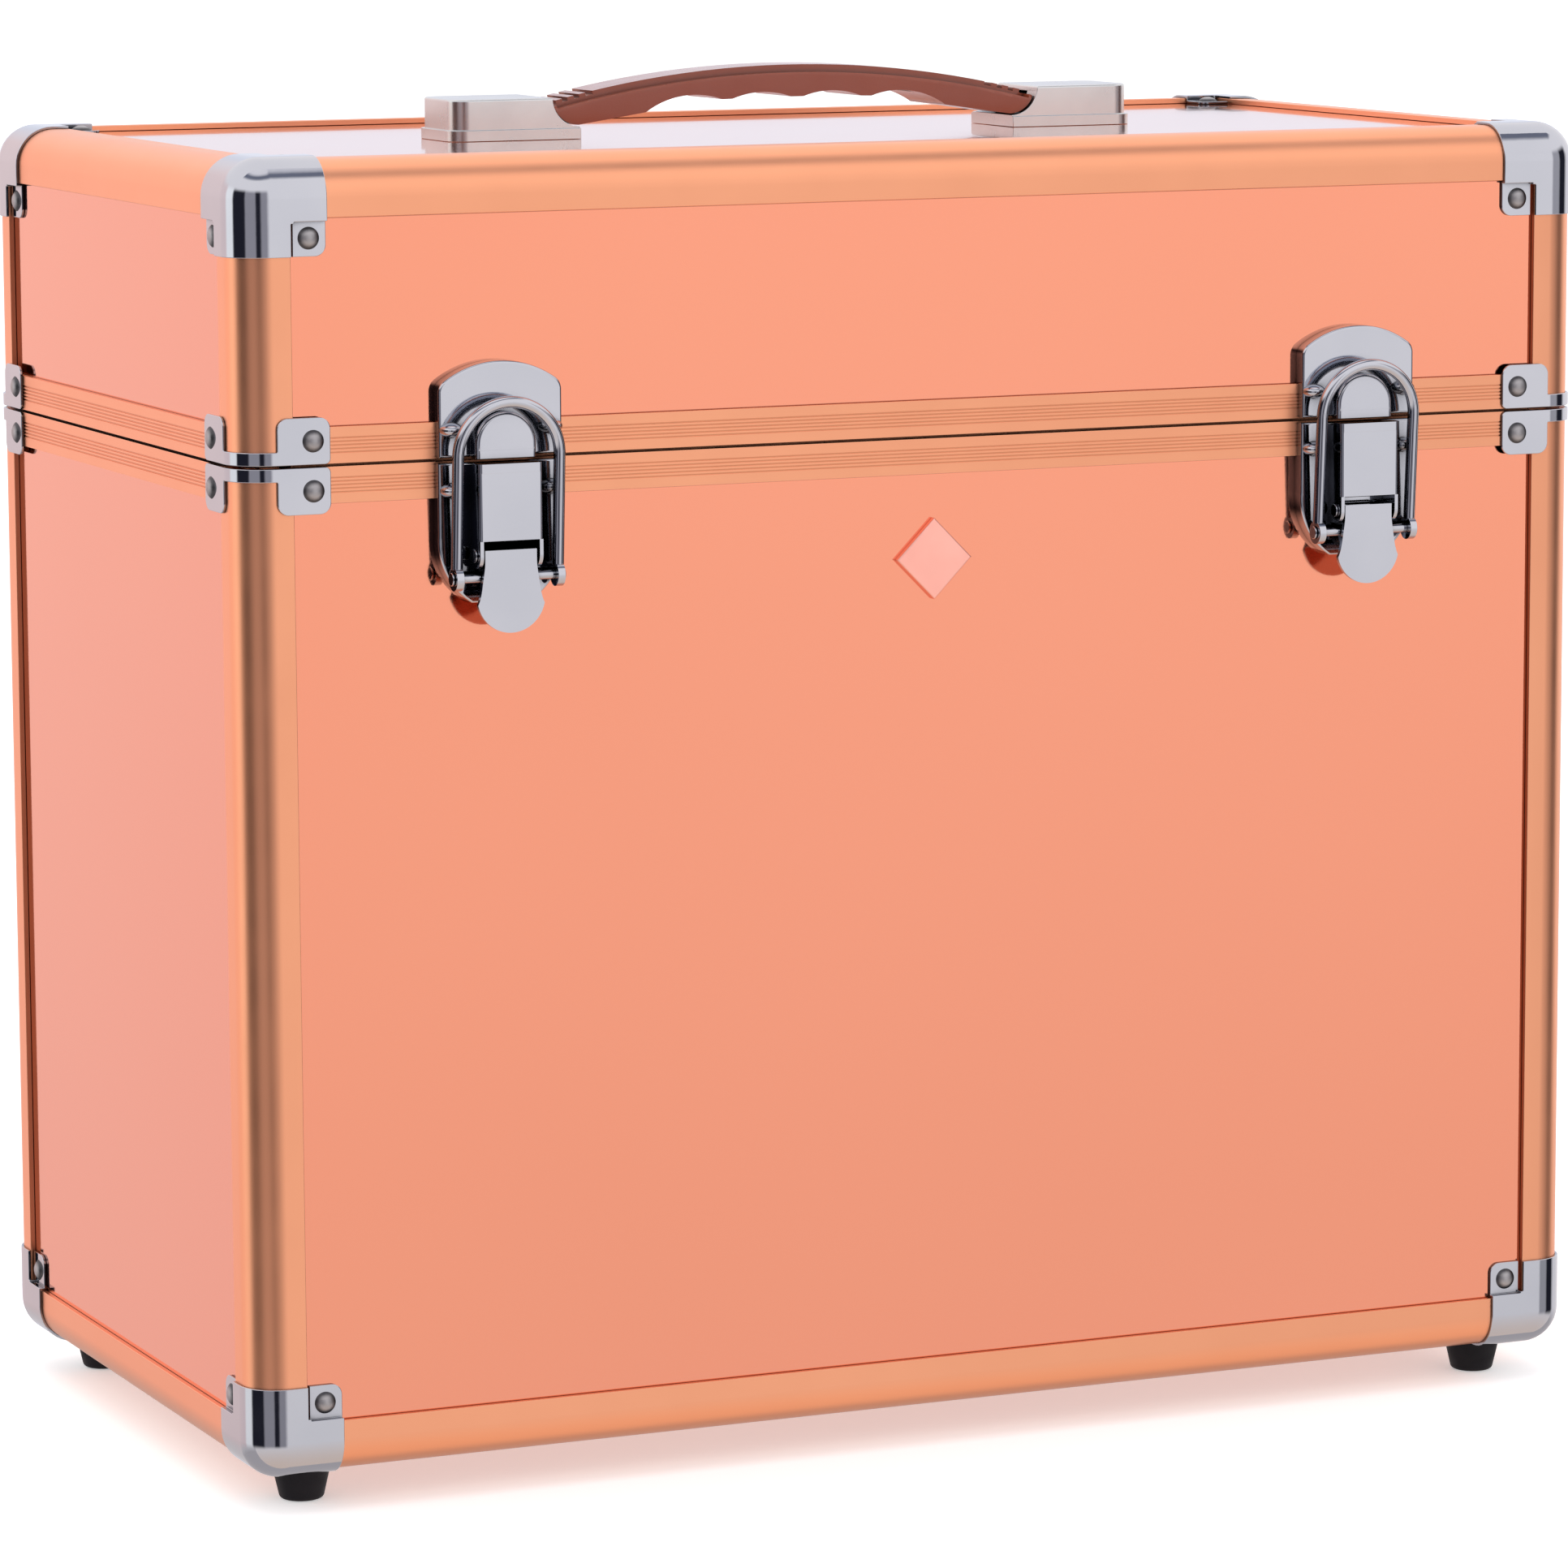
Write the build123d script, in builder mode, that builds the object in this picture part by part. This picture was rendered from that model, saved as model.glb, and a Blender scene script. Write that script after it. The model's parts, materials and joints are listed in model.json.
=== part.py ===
from build123d import *
import math
import os

os.makedirs("parts", exist_ok=True)

# Whole case, between the outer planes of its aluminium corner bars
case_width = 400.0
case_depth = 210.0
case_height = 350.0
foot_height = 10.0
lid_height = 79.5
edge_radius = 10.0
seam_gap = 0.4

# Corner bars, seam bars and boards, as distances inwards from the outer planes
flange_width = 15.0
bar_skin = 1.5
board_inner = 5.5
lip_inner = 6.7
lip_width = 13.0
web_outer = 6.0
web_inner = 7.2
board_play = 0.05
board_inset = 7.4
band_height = 10.0
groove_count = 5
groove_pitch = 0.95
groove_width = 0.45
groove_depth = 0.3
tongue_height = 3.0
tongue_start = 2.2
tongue_thickness = 1.2
web_thickness = 1.2
lining_thickness = 2.5
lining_inset = 13.5

# Pressed chrome hardware
sheet = 0.8
protector_reach = 25.0
rivet_inset = 20.2
tab_start = 15.0
tab_drop = 1.5
bracket_start = 10.3
bracket_end = 25.0
bracket_height = 12.3
bracket_strap = 3.5
bracket_corner = 3.0
rivet_radius = 3.0
rivet_head = 1.3
shank_radius = 1.5
small_rivet_radius = 2.2
small_rivet_head = 1.1
small_shank_radius = 1.1
slit_end = 16.3
bracket_seam_corner = 1.5

# Latches, measured outwards from the bars' front plane and up from the seam
latch_spacing = 256.0
plate_front = 2.5
plate_sheet = 1.0
plate_gap = 0.7
plate_round = 0.7
boss_round = 1.3
hood_round = 0.9
catch_half_width = 17.4
catch_shoulder = 19.6
catch_top = 25.8
catch_corner = 4.0
boss_half_width = 8.6
boss_bottom = 0.9
boss_top = 12.7
boss_front = 6.7
base_plate_half_width = 17.7
base_plate_straight = -20.0
base_plate_bottom = -38.0
base_plate_end_half_width = 8.5
base_plate_bulge = 2.9
hood_half_width = 8.9
hood_top = -1.5
hood_bottom = -21.1
hood_front = 9.7
ear_radius = 3.5
fulcrum_out = 6.2
fulcrum_up = -25.1
fulcrum_radius = 1.2
bail_pin_up = -31.0
bail_pin_radius = 1.2
running_clearance = 0.05
lever_top = -23.6
lever_half_width = 7.3
lever_waist_half_width = 7.8
lever_waist_up = -31.0
lever_flare_half_width = 9.4
lever_flare_up = -38.0
lever_bottom = -45.6
lever_front = 9.0
lever_sheet = 1.2
lever_straight = 3.0
lever_cheek_depth = 5.0
lever_cheek_end = -34.0
wire_radius = 1.6
bail_half_width = 14.3
bail_arch_centre = 1.2
bail_tilt = 3.6
eyelet_radius = 3.2
eyelet_thickness = 2.0
leg_overlap = 0.6
pin_head = 0.6
latch_rivet_x = 14.0
latch_rivet_up = 8.0
low_latch_rivet_up = -34.5

# Hinges on the back
hinge_spacing = 250.0
hinge_width = 40.0
hinge_leaf = 1.2
hinge_leaf_height = 28.0
hinge_out = 3.5
barrel_radius = 3.1
hinge_pin_radius = 1.3
knuckle_gap = 0.3
knuckle_play = 0.6
hinge_rivet_inset = 8.0
hinge_rivet_end = 7.0

# Handle on the lid
block_inner = 66.5
block_outer = 105.0
block_width = 28.0
block_height = 11.5
block_flange = 3.0
block_step = 0.8
block_corner = 6.0
block_round = 0.7
mouth_radius = 8.1
mouth_gap = 0.4
chamber_half_width = 6.8
chamber_low = 4.0
chamber_high = 9.9
chamber_end = 96.0
strap_half_width = 6.0
strap_low = 4.6
strap_thickness = 1.2
strap_end = 91.0
strap_rise = 8.6
grip_half_width = 12.0
grip_top_centre = 19.0
grip_top_end = 9.9
grip_bottom_step = 7.4
grip_bottom_centre = 10.2
grip_step_height = 1.8
grip_step_length = 2.0
grip_round = 3.0
finger_zone = 42.0
finger_pitch = 21.0
finger_depth = 1.5
finger_radius = 26.0
finger_arch_radius = 1300.0
finger_places = (-1.5, -0.5, 0.5, 1.5)
handle_screw_places = (73.0, 98.0)
handle_screw_radius = 2.0
handle_screw_head = 3.8
screw_head_height = 1.8
screw_clearance = 0.3

# Feet
foot_inset = 20.0
foot_top_radius = 8.0
foot_bottom_radius = 5.9
foot_round = 1.3
foot_screw_radius = 2.0
foot_screw_head = 2.6
foot_counterbore = 4.0
foot_slot_width = 1.0
foot_slot_depth = 0.8

# Lift-out tray and its ledges
tray_side_play = 2.5
tray_height = 36.0
tray_below_seam = 2.0
tray_wall = 2.4
tray_floor = 2.5
tray_corner = 6.0
tray_columns = (4, 2)
tray_front_share = 0.42
finger_slot_width = 70.0
finger_slot_height = 16.0
finger_slot_drop = 14.0
finger_room = 14.0
ledge_width = 10.0
ledge_thickness = 1.5
ledge_drop = 12.0
ledge_length = 150.0

# Square badge plate, turned onto a corner, left bare
badge_side = 15.8
badge_thickness = 1.7
badge_chamfer = 0.25
badge_x = -1.0
badge_below_seam = 33.2

# Places worked out from the sizes above
bail_length = bail_arch_centre + bail_half_width - bail_pin_up
front_reach = fulcrum_out + bail_length * math.sin(math.radians(bail_tilt)) + wire_radius
rear_reach = hinge_out + barrel_radius
case_y = (front_reach - rear_reach) / 2
half_width = case_width / 2
half_depth = case_depth / 2
front_y = case_y - half_depth
back_y = case_y + half_depth
bottom_z = foot_height
top_z = bottom_z + case_height
seam_z = top_z - lid_height
bar_half_x = half_width - flange_width
bar_half_y = half_depth - flange_width
lid_panel_z = top_z - bar_skin
latch_places = {"left": -latch_spacing / 2, "right": latch_spacing / 2}
hinge_places = [-hinge_spacing / 2, hinge_spacing / 2]
block_signs = {"left": -1, "right": 1}
corner_signs = [(-1, -1), (1, -1), (-1, 1), (1, 1)]
up = Vector(0, 0, 1)
down = Vector(0, 0, -1)
side_walls = {
    "front": (Vector(0, front_y, 0), Vector(0, 1, 0)),
    "back": (Vector(0, back_y, 0), Vector(0, -1, 0)),
    "left": (Vector(-half_width, case_y, 0), Vector(1, 0, 0)),
    "right": (Vector(half_width, case_y, 0), Vector(-1, 0, 0)),
}


def save(part, name):
    part.label = name
    export_step(part, f"parts/{name}.step")


def patch(low_u, low_v, high_u, high_v, mode=Mode.ADD):
    """A rectangle between two corners of the current sketch."""
    with Locations((low_u, low_v)):
        Rectangle(high_u - low_u, high_v - low_v, align=(Align.MIN, Align.MIN), mode=mode)


def block(low, high, mode=Mode.ADD):
    """A box between two corners of the current part."""
    size = [b - a for a, b in zip(low, high)]
    with Locations(tuple(low)):
        Box(*size, align=(Align.MIN, Align.MIN, Align.MIN), mode=mode)


def corner_plane(corner, inward_one, inward_two, along):
    """A section plane at an outer corner: both its axes point inwards, its normal runs along the bar."""
    first, second = Vector(*inward_one), Vector(*inward_two)
    if first.cross(second).dot(Vector(*along)) < 0:
        first = second
    return Plane(origin=corner, x_dir=first, z_dir=along)


def wall_plane(side, height, vertical, half_length):
    """A section plane at one end of a wall: x points inwards, y along vertical, the normal along the wall."""
    middle, inward = side_walls[side]
    normal = inward.cross(vertical)
    origin = middle + Vector(0, 0, height) - normal * half_length
    return Plane(origin=origin, x_dir=inward, z_dir=normal)


def outer_plane(side, x, z):
    """A plane on the outside of a wall, with its normal pointing out and its y axis up."""
    middle, inward = side_walls[side]
    across = up.cross(inward * -1)
    origin = middle + across * x + Vector(0, 0, z)
    return Plane(origin=origin, x_dir=across, z_dir=inward * -1)


def wall_half_length(side):
    return bar_half_x if side in ("front", "back") else bar_half_y


def board_half_length(side):
    return (half_width if side in ("front", "back") else half_depth) - board_inset


# Places of all rivets, each a plane on the surface under its head, pointing outwards
def corner_rivet_planes(level, away):
    """Two rivets on each upright edge, on the wall lobes of the corner protectors."""
    planes = []
    height = level + away * rivet_inset
    for side, (middle, inward) in side_walls.items():
        reach = (half_width if side in ("front", "back") else half_depth) - rivet_inset
        for x in (-reach, reach):
            planes.append(outer_plane(side, x, height).offset(sheet - tab_drop))
    return planes


def bracket_rivet_planes(away):
    planes = []
    height = seam_z + away * (seam_gap + bracket_height / 2)
    for side in side_walls:
        reach = (half_width if side in ("front", "back") else half_depth) - rivet_inset
        for x in (-reach, reach):
            planes.append(outer_plane(side, x, height).offset(sheet))
    return planes


def lid_top_rivet_planes():
    planes = []
    for sign_x, sign_y in corner_signs:
        x = sign_x * (half_width - rivet_inset)
        y = case_y + sign_y * (half_depth - rivet_inset)
        planes.append(Plane(origin=(x, y, top_z + sheet - tab_drop)))
    return planes


def latch_rivet_planes(spots):
    return [
        outer_plane("front", x + spot_x, seam_z + spot_z).offset(plate_front)
        for x in latch_places.values()
        for spot_x, spot_z in spots
    ]


def hinge_rivet_planes(away):
    step = hinge_width / 2 - hinge_rivet_inset
    height = seam_z + away * (hinge_leaf_height - hinge_rivet_end)
    return [
        outer_plane("back", -x + side * step, height).offset(hinge_leaf - bar_skin)
        for x in hinge_places
        for side in (-1, 1)
    ]


catch_rivet_spots = [(-latch_rivet_x, latch_rivet_up), (latch_rivet_x, latch_rivet_up)]
base_plate_rivet_spots = [
    (-latch_rivet_x, -latch_rivet_up), (latch_rivet_x, -latch_rivet_up), (0.0, low_latch_rivet_up),
]
base_large = corner_rivet_planes(bottom_z, 1) + bracket_rivet_planes(-1)
lid_large = corner_rivet_planes(top_z, -1) + bracket_rivet_planes(1) + lid_top_rivet_planes()
base_small = latch_rivet_planes(base_plate_rivet_spots) + hinge_rivet_planes(-1)
lid_small = latch_rivet_planes(catch_rivet_spots) + hinge_rivet_planes(1)
rivet_grip = 6.0
small_rivet_grip = 7.0
drill_length = 30.0


def drill(large, small):
    """Rivet holes through whatever part is being made."""
    with Locations(*large):
        Hole(shank_radius, depth=rivet_grip)
    with Locations(*small):
        Hole(small_shank_radius, depth=small_rivet_grip)


def rivet(head_radius, head_height, shank, grip):
    """One domed rivet, standing on the plane XY with its shank below."""
    sphere_radius = (head_radius ** 2 + head_height ** 2) / (2 * head_height)
    middle_angle = math.radians(45) * head_radius / sphere_radius
    middle_x = sphere_radius * math.sin(middle_angle)
    middle_z = head_height - sphere_radius * (1 - math.cos(middle_angle))
    with BuildPart() as one:
        with BuildSketch(Plane.XZ):
            with BuildLine():
                ThreePointArc((0, head_height), (middle_x, middle_z), (head_radius, 0))
                Polyline((head_radius, 0), (shank, 0), (shank, -grip), (0, -grip), (0, head_height))
            make_face()
        revolve(axis=Axis.Z)
    return one.part


def rivet_set(large, small, name):
    head = rivet(rivet_radius, rivet_head, shank_radius, rivet_grip)
    small_head = rivet(small_rivet_radius, small_rivet_head, small_shank_radius, small_rivet_grip)
    with BuildPart() as rivets:
        with Locations(*large):
            add(head)
        with Locations(*small):
            add(small_head)
    save(rivets.part, name)


def corner_bar_section(plane):
    """Section of the bar along every long edge: rounded outside, two board slots, hollow corner."""
    with BuildSketch(plane) as section:
        patch(0, 0, flange_width, bar_skin)
        patch(0, 0, bar_skin, flange_width)
        patch(0, 0, web_inner, web_inner)
        patch(web_outer, board_inner, lip_width, lip_inner)
        patch(board_inner, web_outer, lip_inner, lip_width)
        with BuildSketch(mode=Mode.PRIVATE) as rounded:
            patch(0, 0, flange_width, flange_width)
            fillet(rounded.vertices().sort_by_distance((0, 0))[0], edge_radius)
        add(rounded.sketch, mode=Mode.INTERSECT)
        with BuildSketch(mode=Mode.PRIVATE) as hollow:
            patch(bar_skin, bar_skin, web_outer, web_outer)
            with Locations((edge_radius, edge_radius)):
                Circle(edge_radius - bar_skin, mode=Mode.INTERSECT)
        add(hollow.sketch, mode=Mode.SUBTRACT)
    return section.sketch


def corner_bar(plane, length, holes, name):
    with BuildPart() as bar:
        extrude(corner_bar_section(plane), amount=length)
        drill(*holes)
    save(bar.part, name)


def corner_posts(low, high, holes):
    """The four upright bars of one half of the case."""
    posts = []
    for sign_x, sign_y in corner_signs:
        corner = (sign_x * half_width, case_y + sign_y * half_depth, low)
        plane = corner_plane(corner, (-sign_x, 0, 0), (0, -sign_y, 0), up)
        with BuildPart() as post:
            extrude(corner_bar_section(plane), amount=high - low)
            drill(*holes)
        posts.append(post.part)
    return posts


def edge_rails(level, vertical, holes, prefix):
    """The four level bars at the bottom of the base or at the top of the lid."""
    for side, (middle, inward) in side_walls.items():
        half_length = wall_half_length(side)
        along = inward.cross(up)
        corner = middle + Vector(0, 0, level) - along * half_length
        plane = corner_plane(corner, inward, vertical, along)
        corner_bar(plane, 2 * half_length, holes, f"{prefix}_{side}")


def seam_bars(vertical, with_tongue, holes, name):
    """The four grooved bars beside the seam: the base's carry a tongue, the lid's a groove for it."""
    web_start = seam_gap if with_tongue else tongue_height + seam_gap
    groove_start = (band_height + seam_gap - (groove_count - 1) * groove_pitch) / 2
    with BuildPart() as bars:
        for side in side_walls:
            half_length = wall_half_length(side)
            with BuildSketch(wall_plane(side, seam_z, vertical, half_length)):
                patch(0, seam_gap, bar_skin, band_height)
                patch(board_inner, seam_gap, lip_inner, band_height)
                patch(0, web_start, lip_inner, web_start + web_thickness)
                for number in range(groove_count):
                    groove_low = groove_start + number * groove_pitch - groove_width / 2
                    patch(0, groove_low, groove_depth, groove_low + groove_width, Mode.SUBTRACT)
                if with_tongue:
                    patch(tongue_start, -tongue_height + seam_gap, tongue_start + tongue_thickness, seam_gap)
            extrude(amount=2 * half_length)
        drill(*holes)
    save(bars.part, name)


def wall_board(side, low, high, holes, name):
    middle, inward = side_walls[side]
    half_length = board_half_length(side)
    with BuildPart() as board:
        with BuildSketch(wall_plane(side, low, up, half_length)):
            patch(bar_skin + board_play, 0, board_inner - board_play, high - low)
        extrude(amount=2 * half_length)
        drill(*holes)
    save(board.part, name)


def level_board(low, name, holes, screws=(), screw_radius=1.0):
    """Floor of the base or top of the lid."""
    reach_x = half_width - board_inset
    reach_y = half_depth - board_inset
    thickness = board_inner - bar_skin - 2 * board_play
    with BuildPart() as board:
        block((-reach_x, case_y - reach_y, low), (reach_x, case_y + reach_y, low + thickness))
        drill(*holes)
        with Locations(*screws):
            Cylinder(screw_radius, drill_length, mode=Mode.SUBTRACT)
    save(board.part, name)


def linings(low, high, level_low, holes, screws, screw_radius, name):
    """Foam sheets on the inside of the four walls and on the level board."""
    with BuildPart() as sheets:
        for side in side_walls:
            half_length = (half_width if side in ("front", "back") else half_depth) - lining_inset
            with BuildSketch(wall_plane(side, low, up, half_length)):
                patch(board_inner, 0, board_inner + lining_thickness, high - low)
            extrude(amount=2 * half_length)
        reach_x = half_width - lining_inset
        reach_y = half_depth - lining_inset
        block(
            (-reach_x, case_y - reach_y, level_low),
            (reach_x, case_y + reach_y, level_low + lining_thickness),
        )
        drill(*holes)
        with Locations(*screws):
            Cylinder(screw_radius, drill_length, mode=Mode.SUBTRACT)
    save(sheets.part, name)


# Base of the case
foot_spots = [
    (sign_x * (half_width - foot_inset), case_y + sign_y * (half_depth - foot_inset), bottom_z)
    for sign_x, sign_y in corner_signs
]
base_holes = (base_large, base_small)
post_names = ["front_left", "front_right", "back_left", "back_right"]
base_posts = corner_posts(bottom_z + edge_radius, seam_z - seam_gap, base_holes)
for post_name, post_part in zip(post_names, base_posts):
    save(post_part, f"base_post_{post_name}")
edge_rails(bottom_z, up, base_holes, "base_rail")
seam_bars(down, True, base_holes, "base_seam_bars")
base_board_low = bottom_z + board_inset
base_board_high = seam_z - seam_gap - web_thickness - board_play
for side_name in side_walls:
    wall_board(side_name, base_board_low, base_board_high, base_holes, f"base_panel_{side_name}")
level_board(bottom_z + bar_skin + board_play, "base_floor", base_holes, foot_spots, foot_screw_radius)
linings(
    bottom_z + lining_inset, seam_z - band_height - seam_gap, bottom_z + board_inner,
    base_holes, foot_spots, foot_screw_radius, "base_lining",
)
rivet_set(base_large, base_small, "base_rivets")

# Lid shell
lid_holes = (lid_large, lid_small)
lid_posts = corner_posts(seam_z + seam_gap, top_z - edge_radius, lid_holes)
with BuildPart() as lid_post_group:
    for lid_post in lid_posts:
        add(lid_post)
save(lid_post_group.part, "lid_posts")
edge_rails(top_z, down, lid_holes, "lid_rail")
seam_bars(up, False, lid_holes, "lid_seam_bars")
lid_board_low = seam_z + tongue_height + seam_gap + web_thickness + board_play
lid_board_high = top_z - board_inset
for side_name in side_walls:
    wall_board(side_name, lid_board_low, lid_board_high, lid_holes, f"lid_panel_{side_name}")
handle_screw_spots = [
    (sign_x * place_x, case_y, lid_panel_z)
    for sign_x in block_signs.values()
    for place_x in handle_screw_places
]
level_board(
    top_z - board_inner + board_play, "lid_top", lid_holes, handle_screw_spots,
    handle_screw_radius + running_clearance,
)
linings(
    seam_z + band_height + seam_gap, top_z - lining_inset, top_z - board_inner - lining_thickness,
    lid_holes, handle_screw_spots, handle_screw_head + screw_clearance, "lid_lining",
)
rivet_set(lid_large, lid_small, "lid_rivets")


def corner_solid(size, start, radius):
    """A cube with one rounded corner, from which the protectors' skin is made."""
    with BuildPart() as solid:
        block((start, start, start), (size, size, size))
        fillet(solid.edges().sort_by_distance((start, start, start))[:3], radius)
    return solid.part


def corner_protector(tabs):
    """A pressed corner in its own corner frame. tabs says which faces have a sunk and slit rivet tab."""
    core = corner_solid(protector_reach + 1, 0, edge_radius)
    shell_blank = corner_solid(protector_reach, -sheet, edge_radius + sheet)
    tab_inner = tab_start + sheet
    pad_low = (-sheet, tab_start, tab_start)
    pad_high = (tab_drop, protector_reach, protector_reach)
    sink_low = (-sheet, tab_inner, tab_inner)
    sink_high = (tab_drop - sheet, protector_reach, protector_reach)
    slit_low = (-sheet, tab_start, slit_end)
    slit_high = (tab_drop, tab_inner, protector_reach)
    with BuildPart() as protector:
        add(shell_blank)
        add(core, mode=Mode.SUBTRACT)
        for face in range(3):
            turn = [(0, 1, 2), (1, 0, 2), (1, 2, 0)][face]
            block([pad_low[i] for i in turn], [pad_high[i] for i in turn])
            if face in tabs:
                block([sink_low[i] for i in turn], [sink_high[i] for i in turn], Mode.SUBTRACT)
                block([slit_low[i] for i in turn], [slit_high[i] for i in turn], Mode.SUBTRACT)
        reach = protector_reach
        ends = [(0, reach, reach), (reach, 0, reach), (reach, reach, 0)]
        for end, axis in zip(ends, (Axis.X, Axis.Y, Axis.Z)):
            tips = protector.edges().filter_by(axis).sort_by_distance(end)
            fillet(tips[0], bracket_corner)
    return protector.part


def four_corners(name, piece, holes, mirror_level=None, foot_holes=()):
    """A piece made at the front left corner, mirrored to all four upright edges."""
    with BuildPart() as group:
        add(piece)
        if mirror_level is not None:
            mirror(about=Plane.XY.offset(mirror_level), mode=Mode.REPLACE)
        mirror(about=Plane.YZ)
        mirror(about=Plane.XZ.offset(-case_y))
        drill(*holes)
        if foot_holes:
            with Locations(*foot_holes):
                Cylinder(foot_screw_radius, drill_length, mode=Mode.SUBTRACT)
    save(group.part, name)


front_left_bottom = Location((-half_width, front_y, bottom_z))
four_corners(
    "base_corner_protectors", corner_protector([0, 1]).moved(front_left_bottom),
    base_holes, foot_holes=foot_spots,
)
four_corners(
    "lid_corner_protectors", corner_protector([0, 1, 2]).moved(front_left_bottom),
    lid_holes, mirror_level=(bottom_z + top_z) / 2,
)


def seam_bracket(level, away):
    """A bracket round one upright edge beside the seam: two riveted tabs joined by a narrow strap."""
    corner = Plane(origin=(-half_width, front_y, level))
    with BuildPart() as bracket:
        with BuildSketch(corner) as band:
            patch(-sheet, -sheet, bracket_end, bracket_end)
            fillet(band.vertices().sort_by_distance((-sheet, -sheet))[0], edge_radius + sheet)
            with BuildSketch(mode=Mode.PRIVATE) as core:
                patch(0, 0, bracket_end, bracket_end)
                fillet(core.vertices().sort_by_distance((0, 0))[0], edge_radius)
            add(core.sketch, mode=Mode.SUBTRACT)
        extrude(amount=away * bracket_height)
        low, high = sorted((level + away * bracket_strap, level + away * (bracket_height + 1)))
        block(
            (-half_width - sheet, front_y - sheet, low),
            (-half_width + bracket_start, front_y + bracket_start, high),
            Mode.SUBTRACT,
        )
        outer = level + away * bracket_height
        short_edges = [edge for edge in bracket.edges() if edge.length < 1]
        fillet([edge for edge in short_edges if abs(edge.center().Z - outer) < 0.01], bracket_corner)
        short_edges = [edge for edge in bracket.edges() if edge.length < 1]
        fillet([edge for edge in short_edges if abs(edge.center().Z - level) < 0.01], bracket_seam_corner)
    return bracket.part


four_corners("base_seam_brackets", seam_bracket(seam_z - seam_gap, -1), base_holes)
four_corners("lid_seam_brackets", seam_bracket(seam_z + seam_gap, 1), lid_holes)

# Feet with recessed screws
foot_top = bottom_z - sheet
foot_bore = foot_screw_head + screw_clearance
with BuildPart() as foot_blank:
    with BuildSketch(Plane.XZ):
        with BuildLine():
            Polyline(
                (foot_screw_radius, foot_top), (foot_top_radius, foot_top), (foot_bottom_radius, 0),
                (foot_bore, 0), (foot_bore, foot_counterbore),
                (foot_screw_radius, foot_counterbore), (foot_screw_radius, foot_top),
            )
        make_face()
    revolve(axis=Axis.Z)
    rim = foot_blank.edges().filter_by(GeomType.CIRCLE).group_by(Axis.Z)[0].sort_by(SortBy.RADIUS)[-1]
    fillet(rim, foot_round)
for foot_name, spot in zip(post_names, foot_spots):
    with BuildPart() as foot:
        with Locations((spot[0], spot[1], 0)):
            add(foot_blank.part)
    save(foot.part, f"foot_{foot_name}")

screw_tip = bottom_z + board_inner - board_play
shank_length = screw_tip - foot_counterbore
with BuildPart() as foot_screws:
    with Locations(*[(spot[0], spot[1], foot_counterbore) for spot in foot_spots]):
        Cylinder(foot_screw_radius, shank_length, align=(Align.CENTER, Align.CENTER, Align.MIN))
        Cylinder(foot_screw_head, screw_head_height, align=(Align.CENTER, Align.CENTER, Align.MAX))
    slots = [(spot[0], spot[1], foot_counterbore - screw_head_height) for spot in foot_spots]
    with Locations(*slots):
        Box(foot_slot_width, 3 * foot_screw_head, 2 * foot_slot_depth, mode=Mode.SUBTRACT)
save(foot_screws.part, "foot_screws")


# Latches
def catch_outline(shrink):
    """Arched outline of the plate on the lid, drawn in by shrink."""
    half = catch_half_width - shrink
    with BuildSketch(mode=Mode.PRIVATE) as outline:
        with BuildLine():
            Polyline(
                (-half, catch_shoulder), (-half, plate_gap + shrink),
                (half, plate_gap + shrink), (half, catch_shoulder),
            )
            ThreePointArc((half, catch_shoulder), (0, catch_top - shrink), (-half, catch_shoulder))
        make_face()
        fillet(outline.vertices().group_by(Axis.Y)[-1], catch_corner - shrink)
    return outline.sketch


def base_plate_outline(shrink):
    """Outline of the plate on the base: straight sides that curve in to a narrow lower end."""
    half = base_plate_half_width - shrink
    end = base_plate_end_half_width - shrink / 2
    low = base_plate_bottom + shrink
    run = Vector(end - half, low - base_plate_straight)
    outwards = Vector(-run.Y, run.X).normalized() * base_plate_bulge
    bend = ((half + end) / 2 + outwards.X, (base_plate_straight + low) / 2 + outwards.Y)
    with BuildSketch(mode=Mode.PRIVATE) as outline:
        with BuildLine():
            Line((-half, -plate_gap - shrink), (half, -plate_gap - shrink))
            Line((half, -plate_gap - shrink), (half, base_plate_straight))
            ThreePointArc((half, base_plate_straight), bend, (end, low))
            Line((end, low), (-end, low))
            ThreePointArc((-end, low), (-bend[0], bend[1]), (-half, base_plate_straight))
            Line((-half, base_plate_straight), (-half, -plate_gap - shrink))
        make_face()
    return outline.sketch


def boss_outline(shrink):
    """D shape of the catch: flat bottom, round top."""
    half = boss_half_width - shrink
    centre = boss_top - boss_half_width
    with BuildSketch(mode=Mode.PRIVATE) as outline:
        with Locations((0, centre)):
            Circle(half)
        patch(-half, centre - half, half, centre)
        patch(-half, centre - half, half, boss_bottom + shrink, Mode.SUBTRACT)
    return outline.sketch


def drawn_plate(face, outline):
    """A pressed plate, open at the back, that steps over the seam bar."""
    with BuildSketch(face.offset(-bar_skin)) as blank:
        add(outline(0))
    extrude(blank.sketch, amount=bar_skin + plate_front)


def hollow_plate(face, outline, part, low, high):
    front_edges = part.faces().sort_by(Axis.Y)[0].edges()
    fillet(front_edges, plate_round)
    with BuildSketch(face.offset(-bar_skin)) as hollow:
        add(outline(plate_sheet))
    extrude(hollow.sketch, amount=bar_skin + plate_front - plate_sheet, mode=Mode.SUBTRACT)
    middle = face.origin
    block(
        (middle.X - 20, middle.Y, middle.Z + low),
        (middle.X + 20, middle.Y + bar_skin, middle.Z + high),
        Mode.SUBTRACT,
    )


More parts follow.
